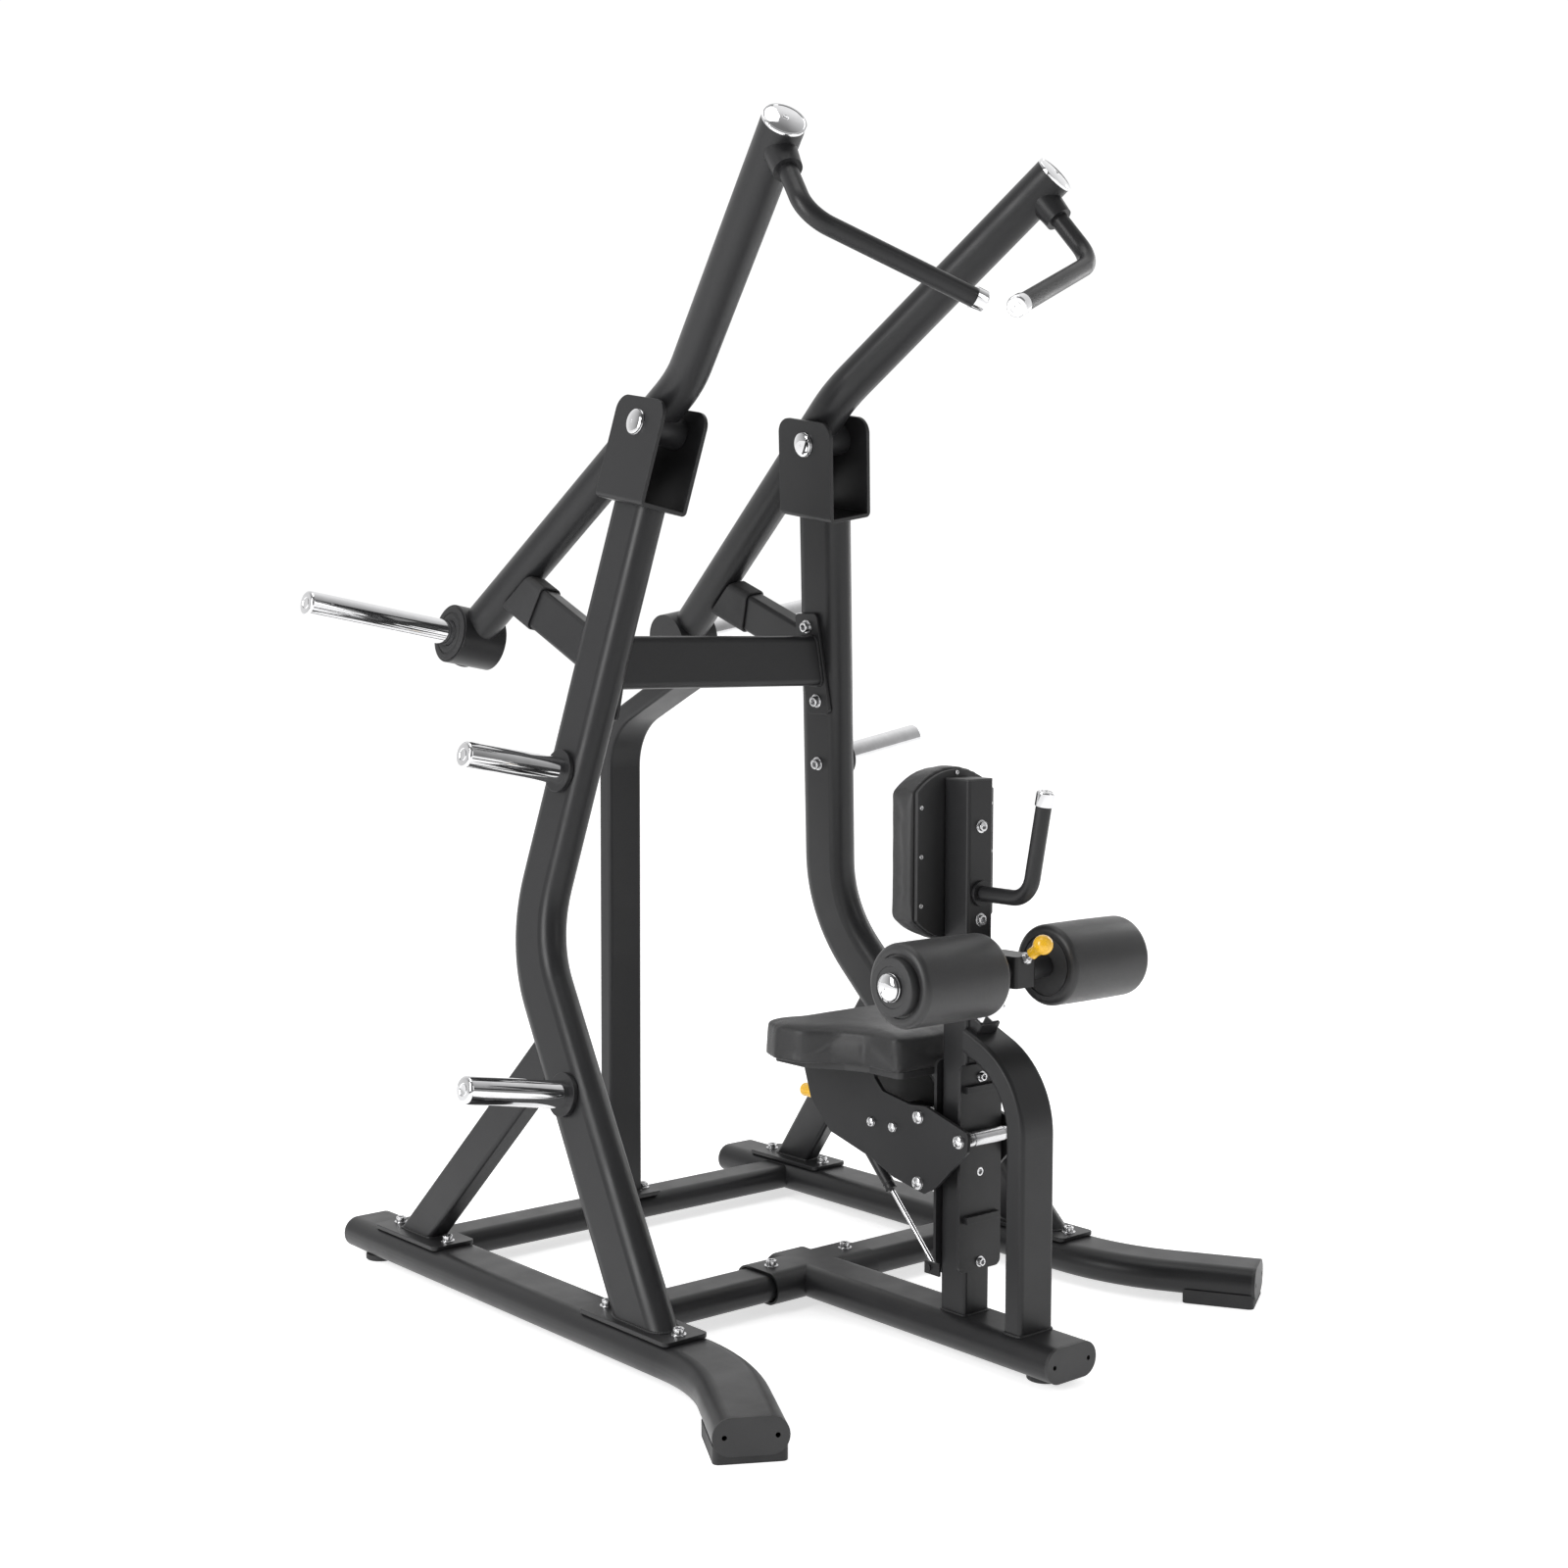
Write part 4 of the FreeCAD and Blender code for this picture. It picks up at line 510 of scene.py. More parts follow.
def bead_along(mesh, outline, radius, pitch, seed):
    """A rippled weld bead round a closed outline."""
    lengths = [(b - a).length for a, b in zip(outline, outline[1:] + outline[:1])]
    total = sum(lengths)
    count = max(24, int(total / (pitch / 4)))
    ends = np.concatenate(([0], np.cumsum(lengths)))
    places = []
    for step in range(count):
        run = total * step / count
        index = min(int(np.searchsorted(ends, run, side="right")) - 1, len(outline) - 1)
        share = (run - ends[index]) / max(lengths[index], 1e-9)
        places.append(outline[index].lerp(outline[(index + 1) % len(outline)], share))
    rings = []
    for step, place in enumerate(places):
        ahead = (places[(step + 1) % count] - places[step - 1]).normalized()
        ripple = 0.88 + 0.14 * abs(math.sin(math.pi * step / 4))
        wander = 1 + 0.16 * noise.noise(place * 60 + Vector((seed, 0, 0)))
        matrix = aimed(place, ahead)
        ring = bmesh.ops.create_circle(mesh, segments=7, radius=radius * ripple * wander,
                                       matrix=matrix)["verts"]
        rings.append(ring)
    for ring, following in zip(rings, rings[1:] + rings[:1]):
        offset = min(range(len(ring)), key=lambda turn: (ring[0].co - following[turn].co).length)
        for index in range(len(ring)):
            here = (ring[index], ring[(index + 1) % len(ring)])
            there = (following[(index + 1 + offset) % len(ring)], following[(index + offset) % len(ring)])
            mesh.faces.new((*here, *there))


def softened(node, edge):
    """Replace a CAD node by a copy whose cut edges are slightly rounded."""
    mesh = merged_copy(node)
    sharp = [item for item in mesh.edges
             if len(item.link_faces) == 2 and item.calc_face_angle(0) > math.radians(40)]
    if sharp:
        bmesh.ops.bevel(mesh, geom=sharp, offset=edge, offset_type="OFFSET", affect="EDGES",
                        segments=3, profile=0.5, clamp_overlap=True, material=-1)
    return piece(node + "_finished", mesh, BODY_OF[node], SLOT_OF[node], (node,), weighted=True)


# ------------------------------------------------------------------ stage

CAMERA_PLACE = (-2.6429, -3.0946, 1.2523)
CAMERA_TURN = -40.425           # degrees from straight ahead
CAMERA_RISE = 4.084             # degrees above level, looking down
CAMERA_ROLL = 0.14
CAMERA_LENS = 49.82
ROOM_TONE = 0.24                # behind the camera
BACKDROP_TONE = 1.05            # behind the machine
FLOOR_GLOW = 0.64
LAMPS = (("key", (-4.2, 0.2, 2.4), (1.6, 3.0), 125), ("top", (-0.5, 0.3, 5.0), (2.4, 2.4), 45),
         ("front", (1.2, -4.6, 2.6), (1.4, 3.0), 22), ("right", (4.4, 0.2, 2.2), (0.8, 3.2), 30))


class MACHINE_OT_stage(bpy.types.Operator):
    """Add the floor, the lights, the camera and the surroundings"""
    bl_idname = "lat_pulldown.stage"
    bl_label = "Stage"

    def execute(self, context):
        scene = context.scene
        scene.view_settings.view_transform = "Standard"
        scene.view_settings.look = "None"
        turn = math.radians(CAMERA_TURN)
        rise = math.radians(CAMERA_RISE)
        back = Vector((math.sin(turn) * math.cos(rise), -math.cos(turn) * math.cos(rise),
                       math.sin(rise)))
        across = UP.cross(back).normalized()
        upright = back.cross(across)
        facing = Matrix((across, upright, back)).transposed()
        facing = facing @ Matrix.Rotation(math.radians(CAMERA_ROLL), 3, "Z")
        camera = bpy.data.objects.new("camera", bpy.data.cameras.new("camera"))
        camera.matrix_world = Matrix.Translation(CAMERA_PLACE) @ facing.to_4x4()
        camera.data.lens = CAMERA_LENS
        camera.data.sensor_width = 36
        scene.collection.objects.link(camera)
        scene.camera = camera

        floor_mesh = bmesh.new()
        bmesh.ops.create_grid(floor_mesh, x_segments=2, y_segments=2, size=30)
        data = bpy.data.meshes.new("floor")
        floor_mesh.to_mesh(data)
        floor_mesh.free()
        floor = bpy.data.objects.new("floor", data)
        scene.collection.objects.link(floor)
        pale = bpy.data.materials.new("Pale Floor")
        pale.use_nodes = True
        shader = pale.node_tree.nodes["Principled BSDF"]
        shader.inputs["Base Color"].default_value = (0.9, 0.9, 0.9, 1)
        shader.inputs["Roughness"].default_value = 0.75
        shader.inputs["Emission Color"].default_value = (1, 1, 1, 1)
        shader.inputs["Emission Strength"].default_value = FLOOR_GLOW
        data.materials.append(pale)

        world = bpy.data.worlds.new("studio")
        scene.world = world
        world.use_nodes = True
        tree = world.node_tree
        place = add(tree, "ShaderNodeTexCoord")
        facing = add(tree, "ShaderNodeVectorMath", operation="DOT_PRODUCT")
        tree.links.new(place.outputs["Generated"], facing.inputs[0])
        facing.inputs[1].default_value = -back
        tone = mixed(tree, ranged(tree, facing.outputs["Value"], -0.35, 0.55),
                     (*[ROOM_TONE] * 3, 1), (*[BACKDROP_TONE] * 3, 1))
        tree.links.new(tone, tree.nodes["Background"].inputs["Color"])
        middle = (CAD_BOX[0] + CAD_BOX[1]) / 2
        for label, place, extent, power in LAMPS:
            lamp = bpy.data.lights.new(label, "AREA")
            lamp.shape = "RECTANGLE"
            lamp.size, lamp.size_y = extent
            lamp.energy = power
            holder = bpy.data.objects.new(label, lamp)
            holder.matrix_world = aimed(Vector(place), Vector(place) - middle)
            scene.collection.objects.link(holder)
        return {"FINISHED"}


# ------------------------------------------------------------------ frame

PLATE_NODES = ("joint_plates", "track_plates", "tube_caps", "horn_flanges", "chest_board",
               "seat_board", "pin_housing", "thigh_block", "gas_spring_lug",
               "seat_side_plates", "pivot_bracket_left", "pivot_bracket_right")
RUBBER_NODES = ("toe_pads", "round_feet", "stop_bumpers")
HUB_EDGE = 0.003


class MACHINE_OT_steelwork(bpy.types.Operator):
    """Paint the frame and round the cut edges of its plates"""
    bl_idname = "lat_pulldown.steelwork"
    bl_label = "Steelwork"

    def execute(self, context):
        for name, node in NODES.items():
            node.data.materials.clear()
            node.data.materials.append(material_for(SLOT_OF[name]))
        edge = details().plate_edge
        for name in PLATE_NODES:
            softened(name, edge)
        for name in RUBBER_NODES:
            softened(name, edge * 2.2)
        return {"FINISHED"}


class MACHINE_OT_welds(bpy.types.Operator):
    """Lay weld beads where tubes stand on plates and rails"""
    bl_idname = "lat_pulldown.welds"
    bl_label = "Welds"

    def execute(self, context):
        size = details()
        mesh = bmesh.new()
        outward = Vector(JOINTS["arm_right_hinge"]["axis"])
        inward = Vector(JOINTS["arm_left_hinge"]["axis"]) * -1
        joints = [("column_left", -UP), ("column_right", -UP), ("braces", -UP),
                  ("rear_post", -UP), ("seat_post", -UP), ("front_post", -UP),
                  ("upper_beam", outward), ("upper_beam", inward)]
        for seed, (node, direction) in enumerate(joints):
            for points in islands(node):
                outline = face_outline(points, direction)
                if len(outline) > 6:
                    bead_along(mesh, outline, size.weld_size, size.weld_pitch, seed * 7.3)
        piece("weld_beads", mesh, "frame", "frame_paint", crease=60)
        return {"FINISHED"}


# ------------------------------------------------------------------ fasteners

HEX_STEPS = 24


def hexagon_reach(angle):
    """Distance to the side of a hexagon of unit inner radius, at an angle."""
    return 1 / math.cos((angle % (math.pi / 3)) - math.pi / 6)


def socket_bolt(mesh, matrix, radius, height, washer=True):
    """A cap screw with a hexagon socket, on its washer."""
    if washer:
        ring = height * 0.18
        turned(mesh, [(0, 0), (radius, 0)] + arc(radius - ring / 3, ring * 2 / 3, ring / 3, 0, 90, 3)
               + [(0, ring)], matrix, 32)
    else:
        ring = 0.0
    head = radius * (0.74 if washer else 1.0)
    soft = min(head, height) * 0.16
    key = head * 0.5
    top = height
    floor = ring + (height - ring) * 0.35
    profile = ([(0, ring), (head, ring)] + arc(head - soft, top - soft, soft, 0, 90, 4)
               + [(key * 1.25, top), (key, top - soft * 0.5), (key, floor), (0, floor)])
    verts = turned(mesh, profile, Matrix.Identity(4), HEX_STEPS)
    for vert in verts:
        reach = math.hypot(vert.co.x, vert.co.y)
        if abs(reach - key) < 1e-6 and vert.co.z < top:
            share = hexagon_reach(math.atan2(vert.co.y, vert.co.x))
            vert.co.x *= share
            vert.co.y *= share
    bmesh.ops.transform(mesh, matrix=matrix, verts=verts)


class MACHINE_OT_fasteners(bpy.types.Operator):
    """Make the frame's bolts, washers and screws"""
    bl_idname = "lat_pulldown.fasteners"
    bl_label = "Fasteners"

    def execute(self, context):
        mesh = bmesh.new()
        for points in islands("frame_bolts"):
            centre, axis, height, radius = turned_axis(points)
            foot = centre - axis * (height / 2)
            if height > radius * 0.5 and radius < 0.0085 and height < 0.0058:
                axis = Vector((0, -1, 0))
                foot = centre - axis * (height / 2)
            if radius < 0.005:
                axis = Vector((0, -1, 0))
                foot = centre - axis * (height / 2)
            socket_bolt(mesh, aimed(foot, axis), radius, height, washer=radius > 0.0085)
        piece("frame_bolts_finished", mesh, "frame", "bright_steel", ("frame_bolts",), crease=30)
        return {"FINISHED"}


# ------------------------------------------------------------------ chrome

def horn(mesh, base, axis, radius, length):
    """A plate horn: plain chrome with a softened tip and a plugged centre."""
    tip = 0.006
    plug = radius * 0.42
    profile = ([(0, 0), (radius, 0), (radius, length - tip)]
               + arc(radius - tip, length - tip, tip, 0, 90, 8)
               + [(plug + 0.0015, length), (plug, length - 0.001), (plug - 0.001, length)]
               + [(plug * 0.55, length - 0.0001), (0, length - 0.0001)])
    turned(mesh, profile, aimed(base, axis))


class MACHINE_OT_horns(bpy.types.Operator):
    """Turn the weight horns and the storage horns"""
    bl_idname = "lat_pulldown.horns"
    bl_label = "Horns"

    def execute(self, context):
        groups = (("weight_horn_left", "arm_left"), ("weight_horn_right", "arm_right"),
                  ("storage_horns", "frame"))
        for node, body in groups:
            mesh = bmesh.new()
            for points in islands(node):
                side = math.copysign(1, points[:, 0].mean())
                hinge = JOINTS["arm_left_hinge" if side < 0 else "arm_right_hinge"]
                axis = Vector(hinge["axis"]) * side
                along = points @ np.array(axis)
                off = points - np.outer(along, np.array(axis))
                centre = Vector((off.max(0) + off.min(0)) / 2)
                base = centre + axis * along.min()
                horn(mesh, base, axis, HORN_RADIUS, along.max() - along.min())
            piece(node + "_finished", mesh, body, "chrome", (node,), crease=30)
        return {"FINISHED"}


class MACHINE_OT_hubs(bpy.types.Operator):
    """Finish the weight hubs with their stepped faces"""
    bl_idname = "lat_pulldown.hubs"
    bl_label = "Weight Hubs"

    def execute(self, context):
        for name, side in SIDES:
            node = "weight_hub_" + name
            points = np.concatenate(islands(node))
            axis = Vector(JOINTS["arm_%s_hinge" % name]["axis"]) * side
            along = points @ np.array(axis)
            off = points - np.outer(along, np.array(axis))
            centre = Vector((off.max(0) + off.min(0)) / 2)
            radius = float(np.linalg.norm(off - np.array(centre), axis=1).max())
            softened(node, HUB_EDGE)
            mesh = bmesh.new()
            face = centre + axis * (along.max() + 0.0002)
            horn_gap = HORN_RADIUS + 0.0004
            profile = ([(horn_gap, 0), (radius - 0.005, 0)]
                       + arc(radius - 0.007, 0.001, 0.002, 0, 90, 4)
                       + [(radius - 0.015, 0.003), (radius - 0.0165, 0.0012), (radius - 0.0185, 0.0012)]
                       + arc(radius - 0.0225, 0.0025, 0.0022, 0, 90, 4)
                       + [(horn_gap + 0.003, 0.0047), (horn_gap, 0.003), (horn_gap, 0)])
            turned(mesh, profile, aimed(face, axis))
            piece("hub_collar_" + name, mesh, "arm_" + name, "rubber", crease=30)
        return {"FINISHED"}


def chrome_dome(mesh, foot, axis, radius, height):
    """A domed chrome cap with a rolled rim and a dimpled centre."""
    rim = height * 0.45
    crown = [(radius * math.cos(math.radians(a)) * 0.97,
              rim + (height - rim) * math.sin(math.radians(a))) for a in range(12, 84, 12)]
    profile = ([(0, 0), (radius * 0.97, 0)] + arc(radius - rim * 0.25, rim * 0.35, rim * 0.25, -60, 60, 5)
               + [(radius * 0.965, rim * 0.8)] + crown
               + [(radius * 0.1, height * 0.985), (radius * 0.07, height * 0.9), (0, height * 0.9)])
    turned(mesh, profile, aimed(foot, axis))


def chrome_disc(mesh, foot, axis, radius, height):
    """A large flush cap: a bright rim, a shallow cone and a dimple in the middle."""
    rim = height * 0.6
    profile = [(0, 0), (radius, 0), (radius, rim - 0.0012)]
    profile += arc(radius - 0.0012, rim - 0.0012, 0.0012, 0, 90, 4)
    profile += [(radius - 0.0035, rim), (radius - 0.0045, rim - 0.0008), (radius - 0.006, rim)]
    profile += [(0.0058, height - 0.0004), (0.005, height - 0.001), (0.0042, height - 0.0028),
                (0, height - 0.0028)]
    turned(mesh, profile, aimed(foot, axis))


def chrome_ferrule(mesh, foot, axis, radius, height):
    """A tube end's cap: a straight side, a rounded shoulder and rings on its face."""
    soft = 0.0035
    profile = [(0, 0), (radius, 0), (radius, height - soft)]
    profile += arc(radius - soft, height - soft, soft, 0, 82, 6)
    profile += [(radius * 0.62, height - 0.0001), (radius * 0.58, height - 0.0011),
                (radius * 0.5, height - 0.0011), (radius * 0.46, height - 0.0002),
                (radius * 0.2, height - 0.0002), (radius * 0.15, height - 0.0016),
                (0, height - 0.0016)]
    turned(mesh, profile, aimed(foot, axis))


class MACHINE_OT_chrome_caps(bpy.types.Operator):
    """Finish the chrome caps of the pins, the arms, the handles and the thigh axle"""
    bl_idname = "lat_pulldown.chrome_caps"
    bl_label = "Chrome Caps"

    def execute(self, context):
        for node, body in (("chrome_caps", "frame"), ("arm_end_caps_left", "arm_left"),
                           ("arm_end_caps_right", "arm_right")):
            mesh = bmesh.new()
            for points in islands(node):
                centre, axis, height, radius = turned_axis(points)
                foot = centre - axis * (height / 2)
                if radius > 0.03:
                    chrome_disc(mesh, foot, axis, radius, height)
                elif height > radius:
                    chrome_ferrule(mesh, foot, axis, radius, height)
                else:
                    chrome_dome(mesh, foot, axis, radius, height)
            piece(node + "_finished", mesh, body, "chrome", (node,), crease=28)
        mesh = bmesh.new()
        low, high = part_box("thigh_axle")
        hinge = Vector(JOINTS["thigh_roller_left_spin"]["pos_m"])
        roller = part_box("thigh_roller_right")[1]
        cap_radius = (high.z - low.z) / 2
        shaft_radius = 0.0125
        cap_height = high.x - roller.x - 0.0005
        for name, side in SIDES:
            foot = Vector((side * (roller.x + 0.0005), hinge.y, hinge.z))
            chrome_dome(mesh, foot, Vector((side, 0, 0)), cap_radius, cap_height)
        shaft = [(0, 0), (shaft_radius, 0), (shaft_radius, 2 * roller.x), (0, 2 * roller.x)]
        turned(mesh, shaft, aimed(Vector((-roller.x, hinge.y, hinge.z)), Vector((1, 0, 0))))
        piece("thigh_axle_finished", mesh, "thigh_support", "chrome", ("thigh_axle",), crease=28)
        return {"FINISHED"}


# ------------------------------------------------------------------ pads and rollers

def puffed(made, held, limit):
    """Blow up a cover a little by cloth simulation, then keep the shape."""
    mesh = made.data
    before = np.empty(len(mesh.vertices) * 3)
    mesh.vertices.foreach_get("co", before)
    group = made.vertex_groups.new(name="held")
    group.add([int(index) for index in held], 1.0, "REPLACE")
    cloth = made.modifiers.new("cover", "CLOTH")
    cloth.settings.use_pressure = True
    cloth.settings.uniform_pressure_force = details().puff_pressure
    cloth.settings.effector_weights.gravity = 0
    cloth.settings.vertex_group_mass = "held"
    cloth.settings.quality = 5
    cloth.point_cache.frame_start = 1
    cloth.point_cache.frame_end = 20
    scene = bpy.context.scene
    for step in range(1, 21):
        scene.frame_set(step)
    graph = bpy.context.evaluated_depsgraph_get()
    after = np.empty_like(before)
    made.evaluated_get(graph).data.vertices.foreach_get("co", after)
    made.modifiers.remove(cloth)
    scene.frame_set(1)
    move = (after - before).reshape(-1, 3)
    length = np.linalg.norm(move, axis=1, keepdims=True)
    move *= np.minimum(1, limit / np.maximum(length, 1e-9))
    mesh.vertices.foreach_set("co", before + move.ravel())
    made.vertex_groups.remove(group)
    mesh.update()


def upholstered(node, name, face_axis, inset):
    """A pad in the place of its plain solid: remeshed, puffed and smoothed."""
    size = details()
    low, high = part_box(node)
    mesh = merged_copy(node)
    axis = Vector(face_axis)
    index = max(range(3), key=lambda item: abs(axis[item]))
    back = low[index] if axis[index] > 0 else high[index]
    middle = (low + high) / 2
    for vert in mesh.verts:
        for item in range(3):
            if item != index:
                reach = (high[item] - low[item]) / 2
                vert.co[item] = middle[item] + (vert.co[item] - middle[item]) * (1 - inset / reach)
        if abs(vert.co[index] - back) > 0.01:
            vert.co[index] -= math.copysign(inset * 1.2, axis[index])
    edges = [edge for edge in mesh.edges if len(edge.link_faces) == 2
             and edge.calc_face_angle(0) > math.radians(50)
             and all(abs(vert.co[index] - back) > 0.01 for vert in edge.verts)]
    bmesh.ops.bevel(mesh, geom=edges, offset=size.pad_edge, offset_type="OFFSET", affect="EDGES",
                    segments=4, profile=0.5, clamp_overlap=True, material=-1)
    data = bpy.data.meshes.new(name)
    mesh.to_mesh(data)
    mesh.free()
    made = bpy.data.objects.new(name, data)
    bpy.context.scene.collection.objects.link(made)
    grid = made.modifiers.new("grid", "REMESH")
    grid.mode = "VOXEL"
    grid.voxel_size = size.voxel
    bpy.context.view_layer.update()
    graph = bpy.context.evaluated_depsgraph_get()
    fine = bpy.data.meshes.new_from_object(made.evaluated_get(graph))
    made.modifiers.clear()
    made.data = fine
    held = [vert.index for vert in fine.vertices if abs(vert.co[index] - back) < size.voxel * 0.7]
    puffed(made, held, size.puff_limit)
    smooth = bmesh.new()
    smooth.from_mesh(made.data)
    free = [vert for vert in smooth.verts if abs(vert.co[index] - back) > size.voxel * 0.7]
    for turn in range(3):
        bmesh.ops.smooth_vert(smooth, verts=free, factor=0.5, use_axis_x=True, use_axis_y=True,
                              use_axis_z=True)
    for vert in free:
        vert.co += vert.normal * 0.0004 * noise.noise(vert.co * 34)
    smooth.to_mesh(made.data)
    smooth.free()
    made.data.shade_smooth()
    made.data.materials.clear()
    made.data.materials.append(material_for("vinyl"))
    rounding = made.modifiers.new("rounding", "SUBSURF")
    rounding.levels = 1
    rounding.render_levels = 1
    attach(made, BODY_OF[node])
    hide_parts(node)
    return made


class MACHINE_OT_pads(bpy.types.Operator):
    """Upholster the seat and the chest pad"""
    bl_idname = "lat_pulldown.pads"
    bl_label = "Seat and Chest Pads"

    def execute(self, context):
        inset = details().puff_limit
        upholstered("seat_pad", "seat_cushion", (0, 0, 1), inset)
        upholstered("chest_pad", "chest_cushion", (0, 1, 0), inset)
        return {"FINISHED"}


class MACHINE_OT_rollers(bpy.types.Operator):
    """Make the foam thigh rollers with their rounded ends and hub discs"""
    bl_idname = "lat_pulldown.rollers"
    bl_label = "Thigh Rollers"

    def execute(self, context):
        bore = 0.0135
        for name, side in SIDES:
            node = "thigh_roller_" + name
            hinge = Vector(JOINTS[node + "_spin"]["pos_m"])
            points = np.concatenate(islands(node))
            across = np.hypot(points[:, 1] - hinge.y, points[:, 2] - hinge.z)
            reach = np.abs(points[:, 0])
            radius = float(across.max())
            foam = reach[across > radius * 0.9]
            inner, outer, disc_end = float(foam.min()), float(foam.max()), float(reach.max())
            length = outer - inner
            outward = Vector((side, 0, 0))
            start = Vector((side * inner, hinge.y, hinge.z))
            turn = 0.012
            seat = float(across[reach > disc_end - 0.0005].max()) if disc_end > outer + 0.002 else 0.048
            ending = [(seat + 0.0035, 0.0035), (seat + 0.0045, 0.001)]
            ending += arc(radius - turn, turn, turn, -90, 0, 10)
            half = ending + [(radius + 0.0004, length * 0.25), (radius + 0.0006, length * 0.5)]
            mirror = [(r, length - z) for r, z in reversed(half[:-1])]
            profile = [(bore, 0.0035)] + half + mirror + [(bore, length - 0.0035), (bore, 0.0035)]
            mesh = bmesh.new()
            turned(mesh, profile, aimed(start, outward), 96)
            sleeve = piece(node + "_foam", mesh, node, "roller_vinyl", (node,), crease=40)
            hub = bmesh.new()
            depth = disc_end - outer + 0.0038
            place = aimed(start + outward * (length - 0.0038), outward)
            disc = [(bore, 0), (seat, 0), (seat, depth - 0.004)]
            disc += arc(seat - 0.0025, depth - 0.0025, 0.0025, 0, 84, 5)
            disc += [(seat * 0.72, depth), (seat * 0.7, depth - 0.0012), (bore, depth - 0.0012),
                     (bore, 0)]
            turned(hub, disc, place, 72)
            collar = [(bore, 0), (seat + 0.002, 0), (seat + 0.002, 0.0012), (seat * 0.72, 0.0028),
                      (bore, 0.0028), (bore, 0)]
            turned(hub, collar, aimed(start + outward * 0.0033, -outward), 72)
            piece("roller_discs_" + name, hub, node, "cap_plastic", crease=30)
        return {"FINISHED"}


# ------------------------------------------------------------------ knobs and seat gear

class MACHINE_OT_knobs(bpy.types.Operator):
    """Make the yellow pull knobs and their rods"""
    bl_idname = "lat_pulldown.knobs"
    bl_label = "Pull Knobs"

    def execute(self, context):
        axis = Vector(JOINTS["thigh_knob_pull"]["axis"])
        points = np.concatenate(islands("thigh_knob"))
        along = points @ np.array(axis)
        off = points - np.outer(along, np.array(axis))
        near_stem = off[along < along.min() + 0.004]
        centre = Vector((near_stem.max(0) + near_stem.min(0)) / 2)
        length = along.max() - along.min()
        ball = 0.0168
        neck = 0.0094
        stem_end = 0.026
        top = length
        join = math.degrees(math.asin(-0.62))
        sphere = [(ball * math.cos(math.radians(a)), top - ball + ball * math.sin(math.radians(a)))
                  for a in np.linspace(join, 88, 18)]
        waist = (stem_end + 0.006, sphere[0][1])
        throat = [(neck + (sphere[0][0] - neck) * share ** 2.2,
                   waist[0] + (waist[1] - waist[0]) * share) for share in np.linspace(0, 0.9, 7)]
        profile = [(0, stem_end), (neck * 0.9, stem_end), (neck * 1.06, stem_end + 0.0015),
                   (neck * 1.06, stem_end + 0.005)] + throat + sphere + [(0, top)]
        mesh = bmesh.new()
        base = centre + axis * along.min()
        turned(mesh, profile, aimed(base, axis), 48)
        piece("thigh_knob_grip", mesh, "thigh_knob", "yellow_plastic", ("thigh_knob",), crease=40)
        mesh = bmesh.new()
        turned(mesh, [(0, 0), (0.0048, 0), (0.0048, stem_end + 0.001), (0, stem_end + 0.001)],
               aimed(base, axis), 24)
        piece("thigh_knob_stem", mesh, "thigh_knob", "bright_steel")
        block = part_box("thigh_block")
        mesh = bmesh.new()
        out = (block[0].y - base.y) / axis.y
        ferrule = [(0.0054, 0), (0.0105, 0), (0.0105, 0.003), (0.0092, 0.0042), (0.0092, 0.0055),
                   (0.0078, 0.007), (0.0054, 0.007), (0.0054, 0)]
        turned(mesh, ferrule, aimed(base + axis * (out - 0.0008), axis), 36)
        piece("thigh_knob_ferrule", mesh, "thigh_support", "bright_steel")

        low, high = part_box("seat_pin")
        centre = (low + high) / 2
        radius = (high.z - low.z) / 2
        points = np.concatenate(islands("seat_pin"))
        across = np.hypot(points[:, 0] - centre.x, points[:, 2] - centre.z)
        knob_start = points[across > radius * 0.95][:, 1].min()
        grip = high.y - knob_start
        profile = [(0, 0), (radius * 0.62, 0), (radius * 0.7, 0.0015), (radius * 0.7, 0.007),
                   (radius * 0.8, 0.0095)]
        profile += [(radius * (0.97 + 0.03 * math.cos(step * math.pi)), 0.012 + step * 0.0021)
                    for step in range(int((grip - 0.024) / 0.0021))]
        profile += arc(radius - 0.009, grip - 0.009, 0.009, 0, 90, 6) + [(0, grip)]
        mesh = bmesh.new()
        turned(mesh, profile, aimed(Vector((centre.x, knob_start, centre.z)), Vector((0, 1, 0))), 48)
        piece("seat_pin_grip", mesh, "seat_pin", "yellow_plastic", ("seat_pin",), crease=50)
        mesh = bmesh.new()
        rod = knob_start - low.y
        turned(mesh, [(0, 0), (0.0038, 0), (0.005, 0.0022), (0.005, rod + 0.001), (0, rod + 0.001)],
               aimed(Vector((centre.x, low.y, centre.z)), Vector((0, 1, 0))), 32)
        piece("seat_pin_rod", mesh, "seat_pin", "bright_steel")
        return {"FINISHED"}


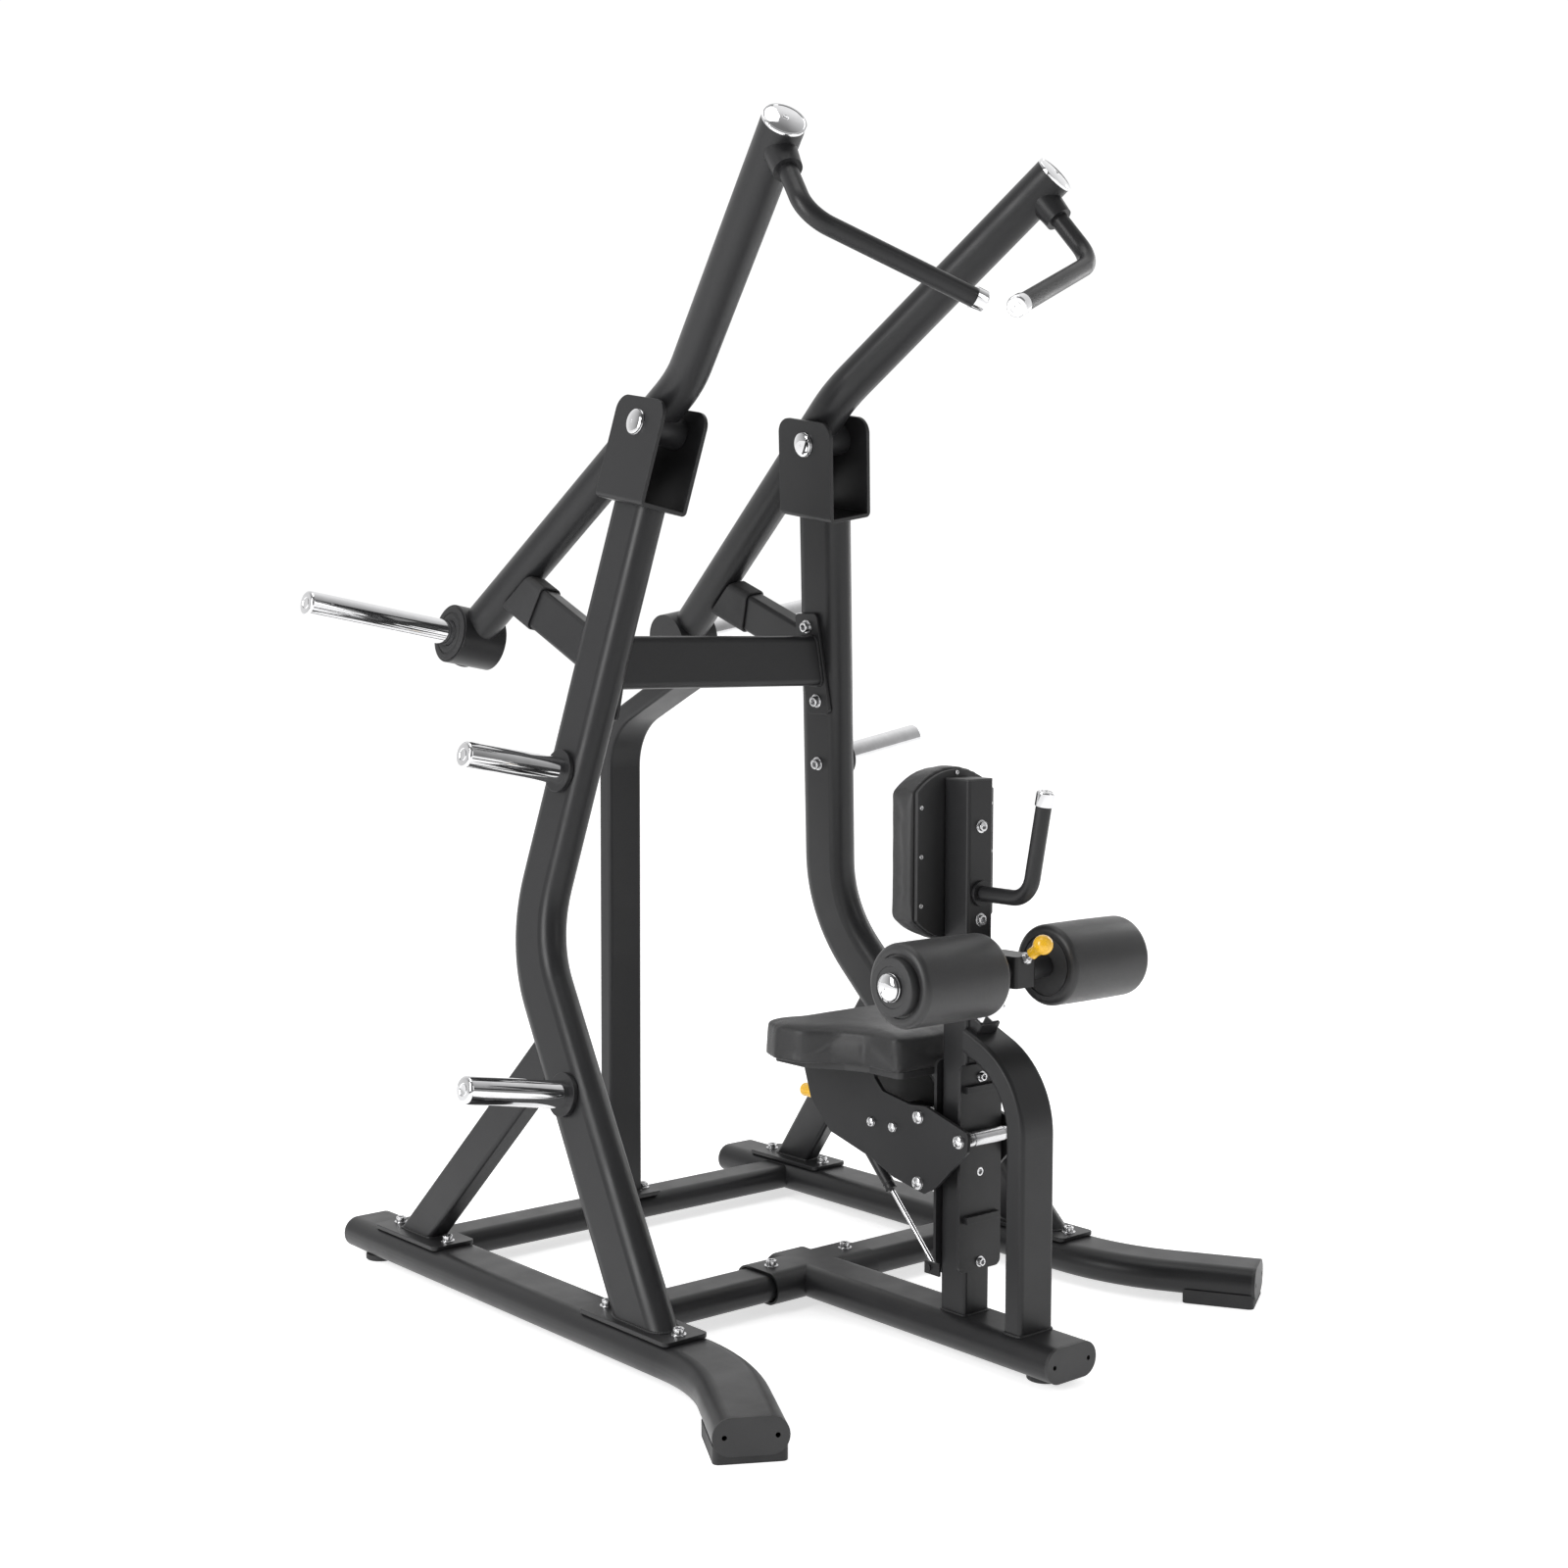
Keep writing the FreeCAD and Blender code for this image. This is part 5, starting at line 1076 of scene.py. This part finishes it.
class MACHINE_OT_seat_gear(bpy.types.Operator):
    """Make the guide rollers, the seat's bolts and the gas spring"""
    bl_idname = "lat_pulldown.seat_gear"
    bl_label = "Seat Gear"

    def execute(self, context):
        x_axis = Vector((1, 0, 0))
        for place in ("front", "upper", "lower"):
            node = "seat_roller_" + place
            low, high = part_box(node)
            middle = (low + high) / 2
            radius = (high.z - low.z) / 2
            length = high.x - low.x
            soft = 0.0022
            half = [(0.0062, 0), (radius - 0.003, 0)] + arc(radius - soft - 0.0004, soft, soft, -80, 0, 5)
            half += [(radius - 0.0004, length * 0.16), (radius - 0.0016, length * 0.165),
                     (radius - 0.0016, length * 0.18), (radius, length * 0.185), (radius, length / 2)]
            mirror = [(r, length - z) for r, z in reversed(half[:-1])]
            mesh = bmesh.new()
            turned(mesh, half + mirror + [(0.0062, 0)],
                   aimed(Vector((low.x, middle.y, middle.z)), x_axis), 48)
            piece(node + "_finished", mesh, node, "bright_steel", (node,), crease=30)

        mesh = bmesh.new()
        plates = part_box("seat_side_plates")
        for points in islands("seat_bolts"):
            low = Vector(points.min(0))
            high = Vector(points.max(0))
            middle = (low + high) / 2
            for side in (-1, 1):
                face = side * plates[1].x
                if side * (high.x if side > 0 else low.x) < plates[1].x + 0.001:
                    continue
                head = points[side * points[:, 0] > plates[1].x + 0.0005]
                radius = (head[:, 2].max() - head[:, 2].min()) / 2
                height = abs((high.x if side > 0 else low.x) - face)
                chrome_dome(mesh, Vector((face, middle.y, middle.z)), Vector((side, 0, 0)),
                            radius, height)
            if high.x - low.x > 0.03:
                shaft = 0.0058 if high.z - low.z > 0.015 else 0.0039
                start = max(low.x, -plates[1].x)
                end = min(high.x, plates[1].x)
                turned(mesh, [(0, 0), (shaft, 0), (shaft, end - start), (0, end - start)],
                       aimed(Vector((start, middle.y, middle.z)), x_axis), 24)
        piece("seat_bolts_finished", mesh, "seat", "bright_steel", ("seat_bolts",), crease=30)

        axis = Vector(JOINTS["gas_rod_slide"]["axis"])
        top = Vector(JOINTS["gas_spring_swing"]["pos_m"])
        points = np.concatenate(islands("gas_cylinder"))
        reach = float(((points - np.array(top)) @ np.array(axis)).max())
        barrel = 0.011
        profile = [(0, 0.004), (0.0048, 0.004), (0.0048, 0.013), (0.007, 0.0135), (0.0075, 0.018),
                   (barrel - 0.001, 0.019)] + arc(barrel - 0.002, 0.022, 0.002, -60, 0, 4)
        profile += [(barrel, reach - 0.014), (barrel - 0.0012, reach - 0.0125),
                    (barrel - 0.0012, reach - 0.011), (barrel, reach - 0.0095), (barrel, reach - 0.004)]
        profile += arc(barrel - 0.003, reach - 0.003, 0.003, 0, 80, 4)
        profile += [(0.0052, reach), (0.0042, reach - 0.001), (0.0042, reach - 0.03)]
        mesh = bmesh.new()
        turned(mesh, profile, aimed(top, axis), 48)
        eye = [(0.0041, -0.006), (0.0082, -0.006), (0.009, -0.005), (0.009, 0.005), (0.0082, 0.006),
               (0.0041, 0.006), (0.0041, -0.006)]
        turned(mesh, eye, aimed(top, x_axis), 36)
        piece("gas_cylinder_finished", mesh, "gas_cylinder", "frame_paint", ("gas_cylinder",),
              crease=30)
        points = np.concatenate(islands("gas_rod"))
        heights = (points - np.array(top)) @ np.array(axis)
        low_eye = top + axis * (float(heights.max()) - 0.009)
        start = float(heights.min())
        end = float(heights.max()) - 0.016
        mesh = bmesh.new()
        turned(mesh, [(0, start), (0.0035, start), (0.004, start + 0.001), (0.004, end),
                      (0.0065, end + 0.0005), (0.0065, end + 0.008), (0, end + 0.008)],
               aimed(top, axis), 32)
        turned(mesh, [(0.0032, -0.006)] + eye[1:-2] + [(0.0032, 0.006), (0.0032, -0.006)],
               aimed(low_eye, x_axis), 36)
        piece("gas_rod_finished", mesh, "gas_rod", "bright_steel", ("gas_rod",), crease=30)
        return {"FINISHED"}


# ------------------------------------------------------------------ add-on

class MACHINE_PT_panel(bpy.types.Panel):
    """The machine's pieces, in building order"""
    bl_label = "Lat Pulldown"
    bl_idname = "MACHINE_PT_panel"
    bl_space_type = "VIEW_3D"
    bl_region_type = "UI"
    bl_category = "Lat Pulldown"

    def draw(self, context):
        layout = self.layout
        for operator in OPERATORS:
            layout.operator(operator.bl_idname)
        for group in (context.scene.lat_pulldown_finish, context.scene.lat_pulldown_detail):
            column = layout.column()
            for name in group.__annotations__:
                column.prop(group, name)


OPERATORS = (MACHINE_OT_stage, MACHINE_OT_steelwork, MACHINE_OT_welds, MACHINE_OT_fasteners,
             MACHINE_OT_horns, MACHINE_OT_hubs, MACHINE_OT_chrome_caps, MACHINE_OT_pads,
             MACHINE_OT_rollers, MACHINE_OT_knobs, MACHINE_OT_seat_gear)
CLASSES = (FinishSettings, DetailSettings) + OPERATORS + (MACHINE_PT_panel,)


def register():
    for item in CLASSES:
        bpy.utils.register_class(item)
    bpy.types.Scene.lat_pulldown_finish = PointerProperty(type=FinishSettings)
    bpy.types.Scene.lat_pulldown_detail = PointerProperty(type=DetailSettings)


def unregister():
    del bpy.types.Scene.lat_pulldown_detail
    del bpy.types.Scene.lat_pulldown_finish
    for item in reversed(CLASSES):
        bpy.utils.unregister_class(item)


def main():
    register()
    for operator in OPERATORS:
        module, name = operator.bl_idname.split(".")
        getattr(getattr(bpy.ops, module), name)()


if __name__ == "__main__":
    main()
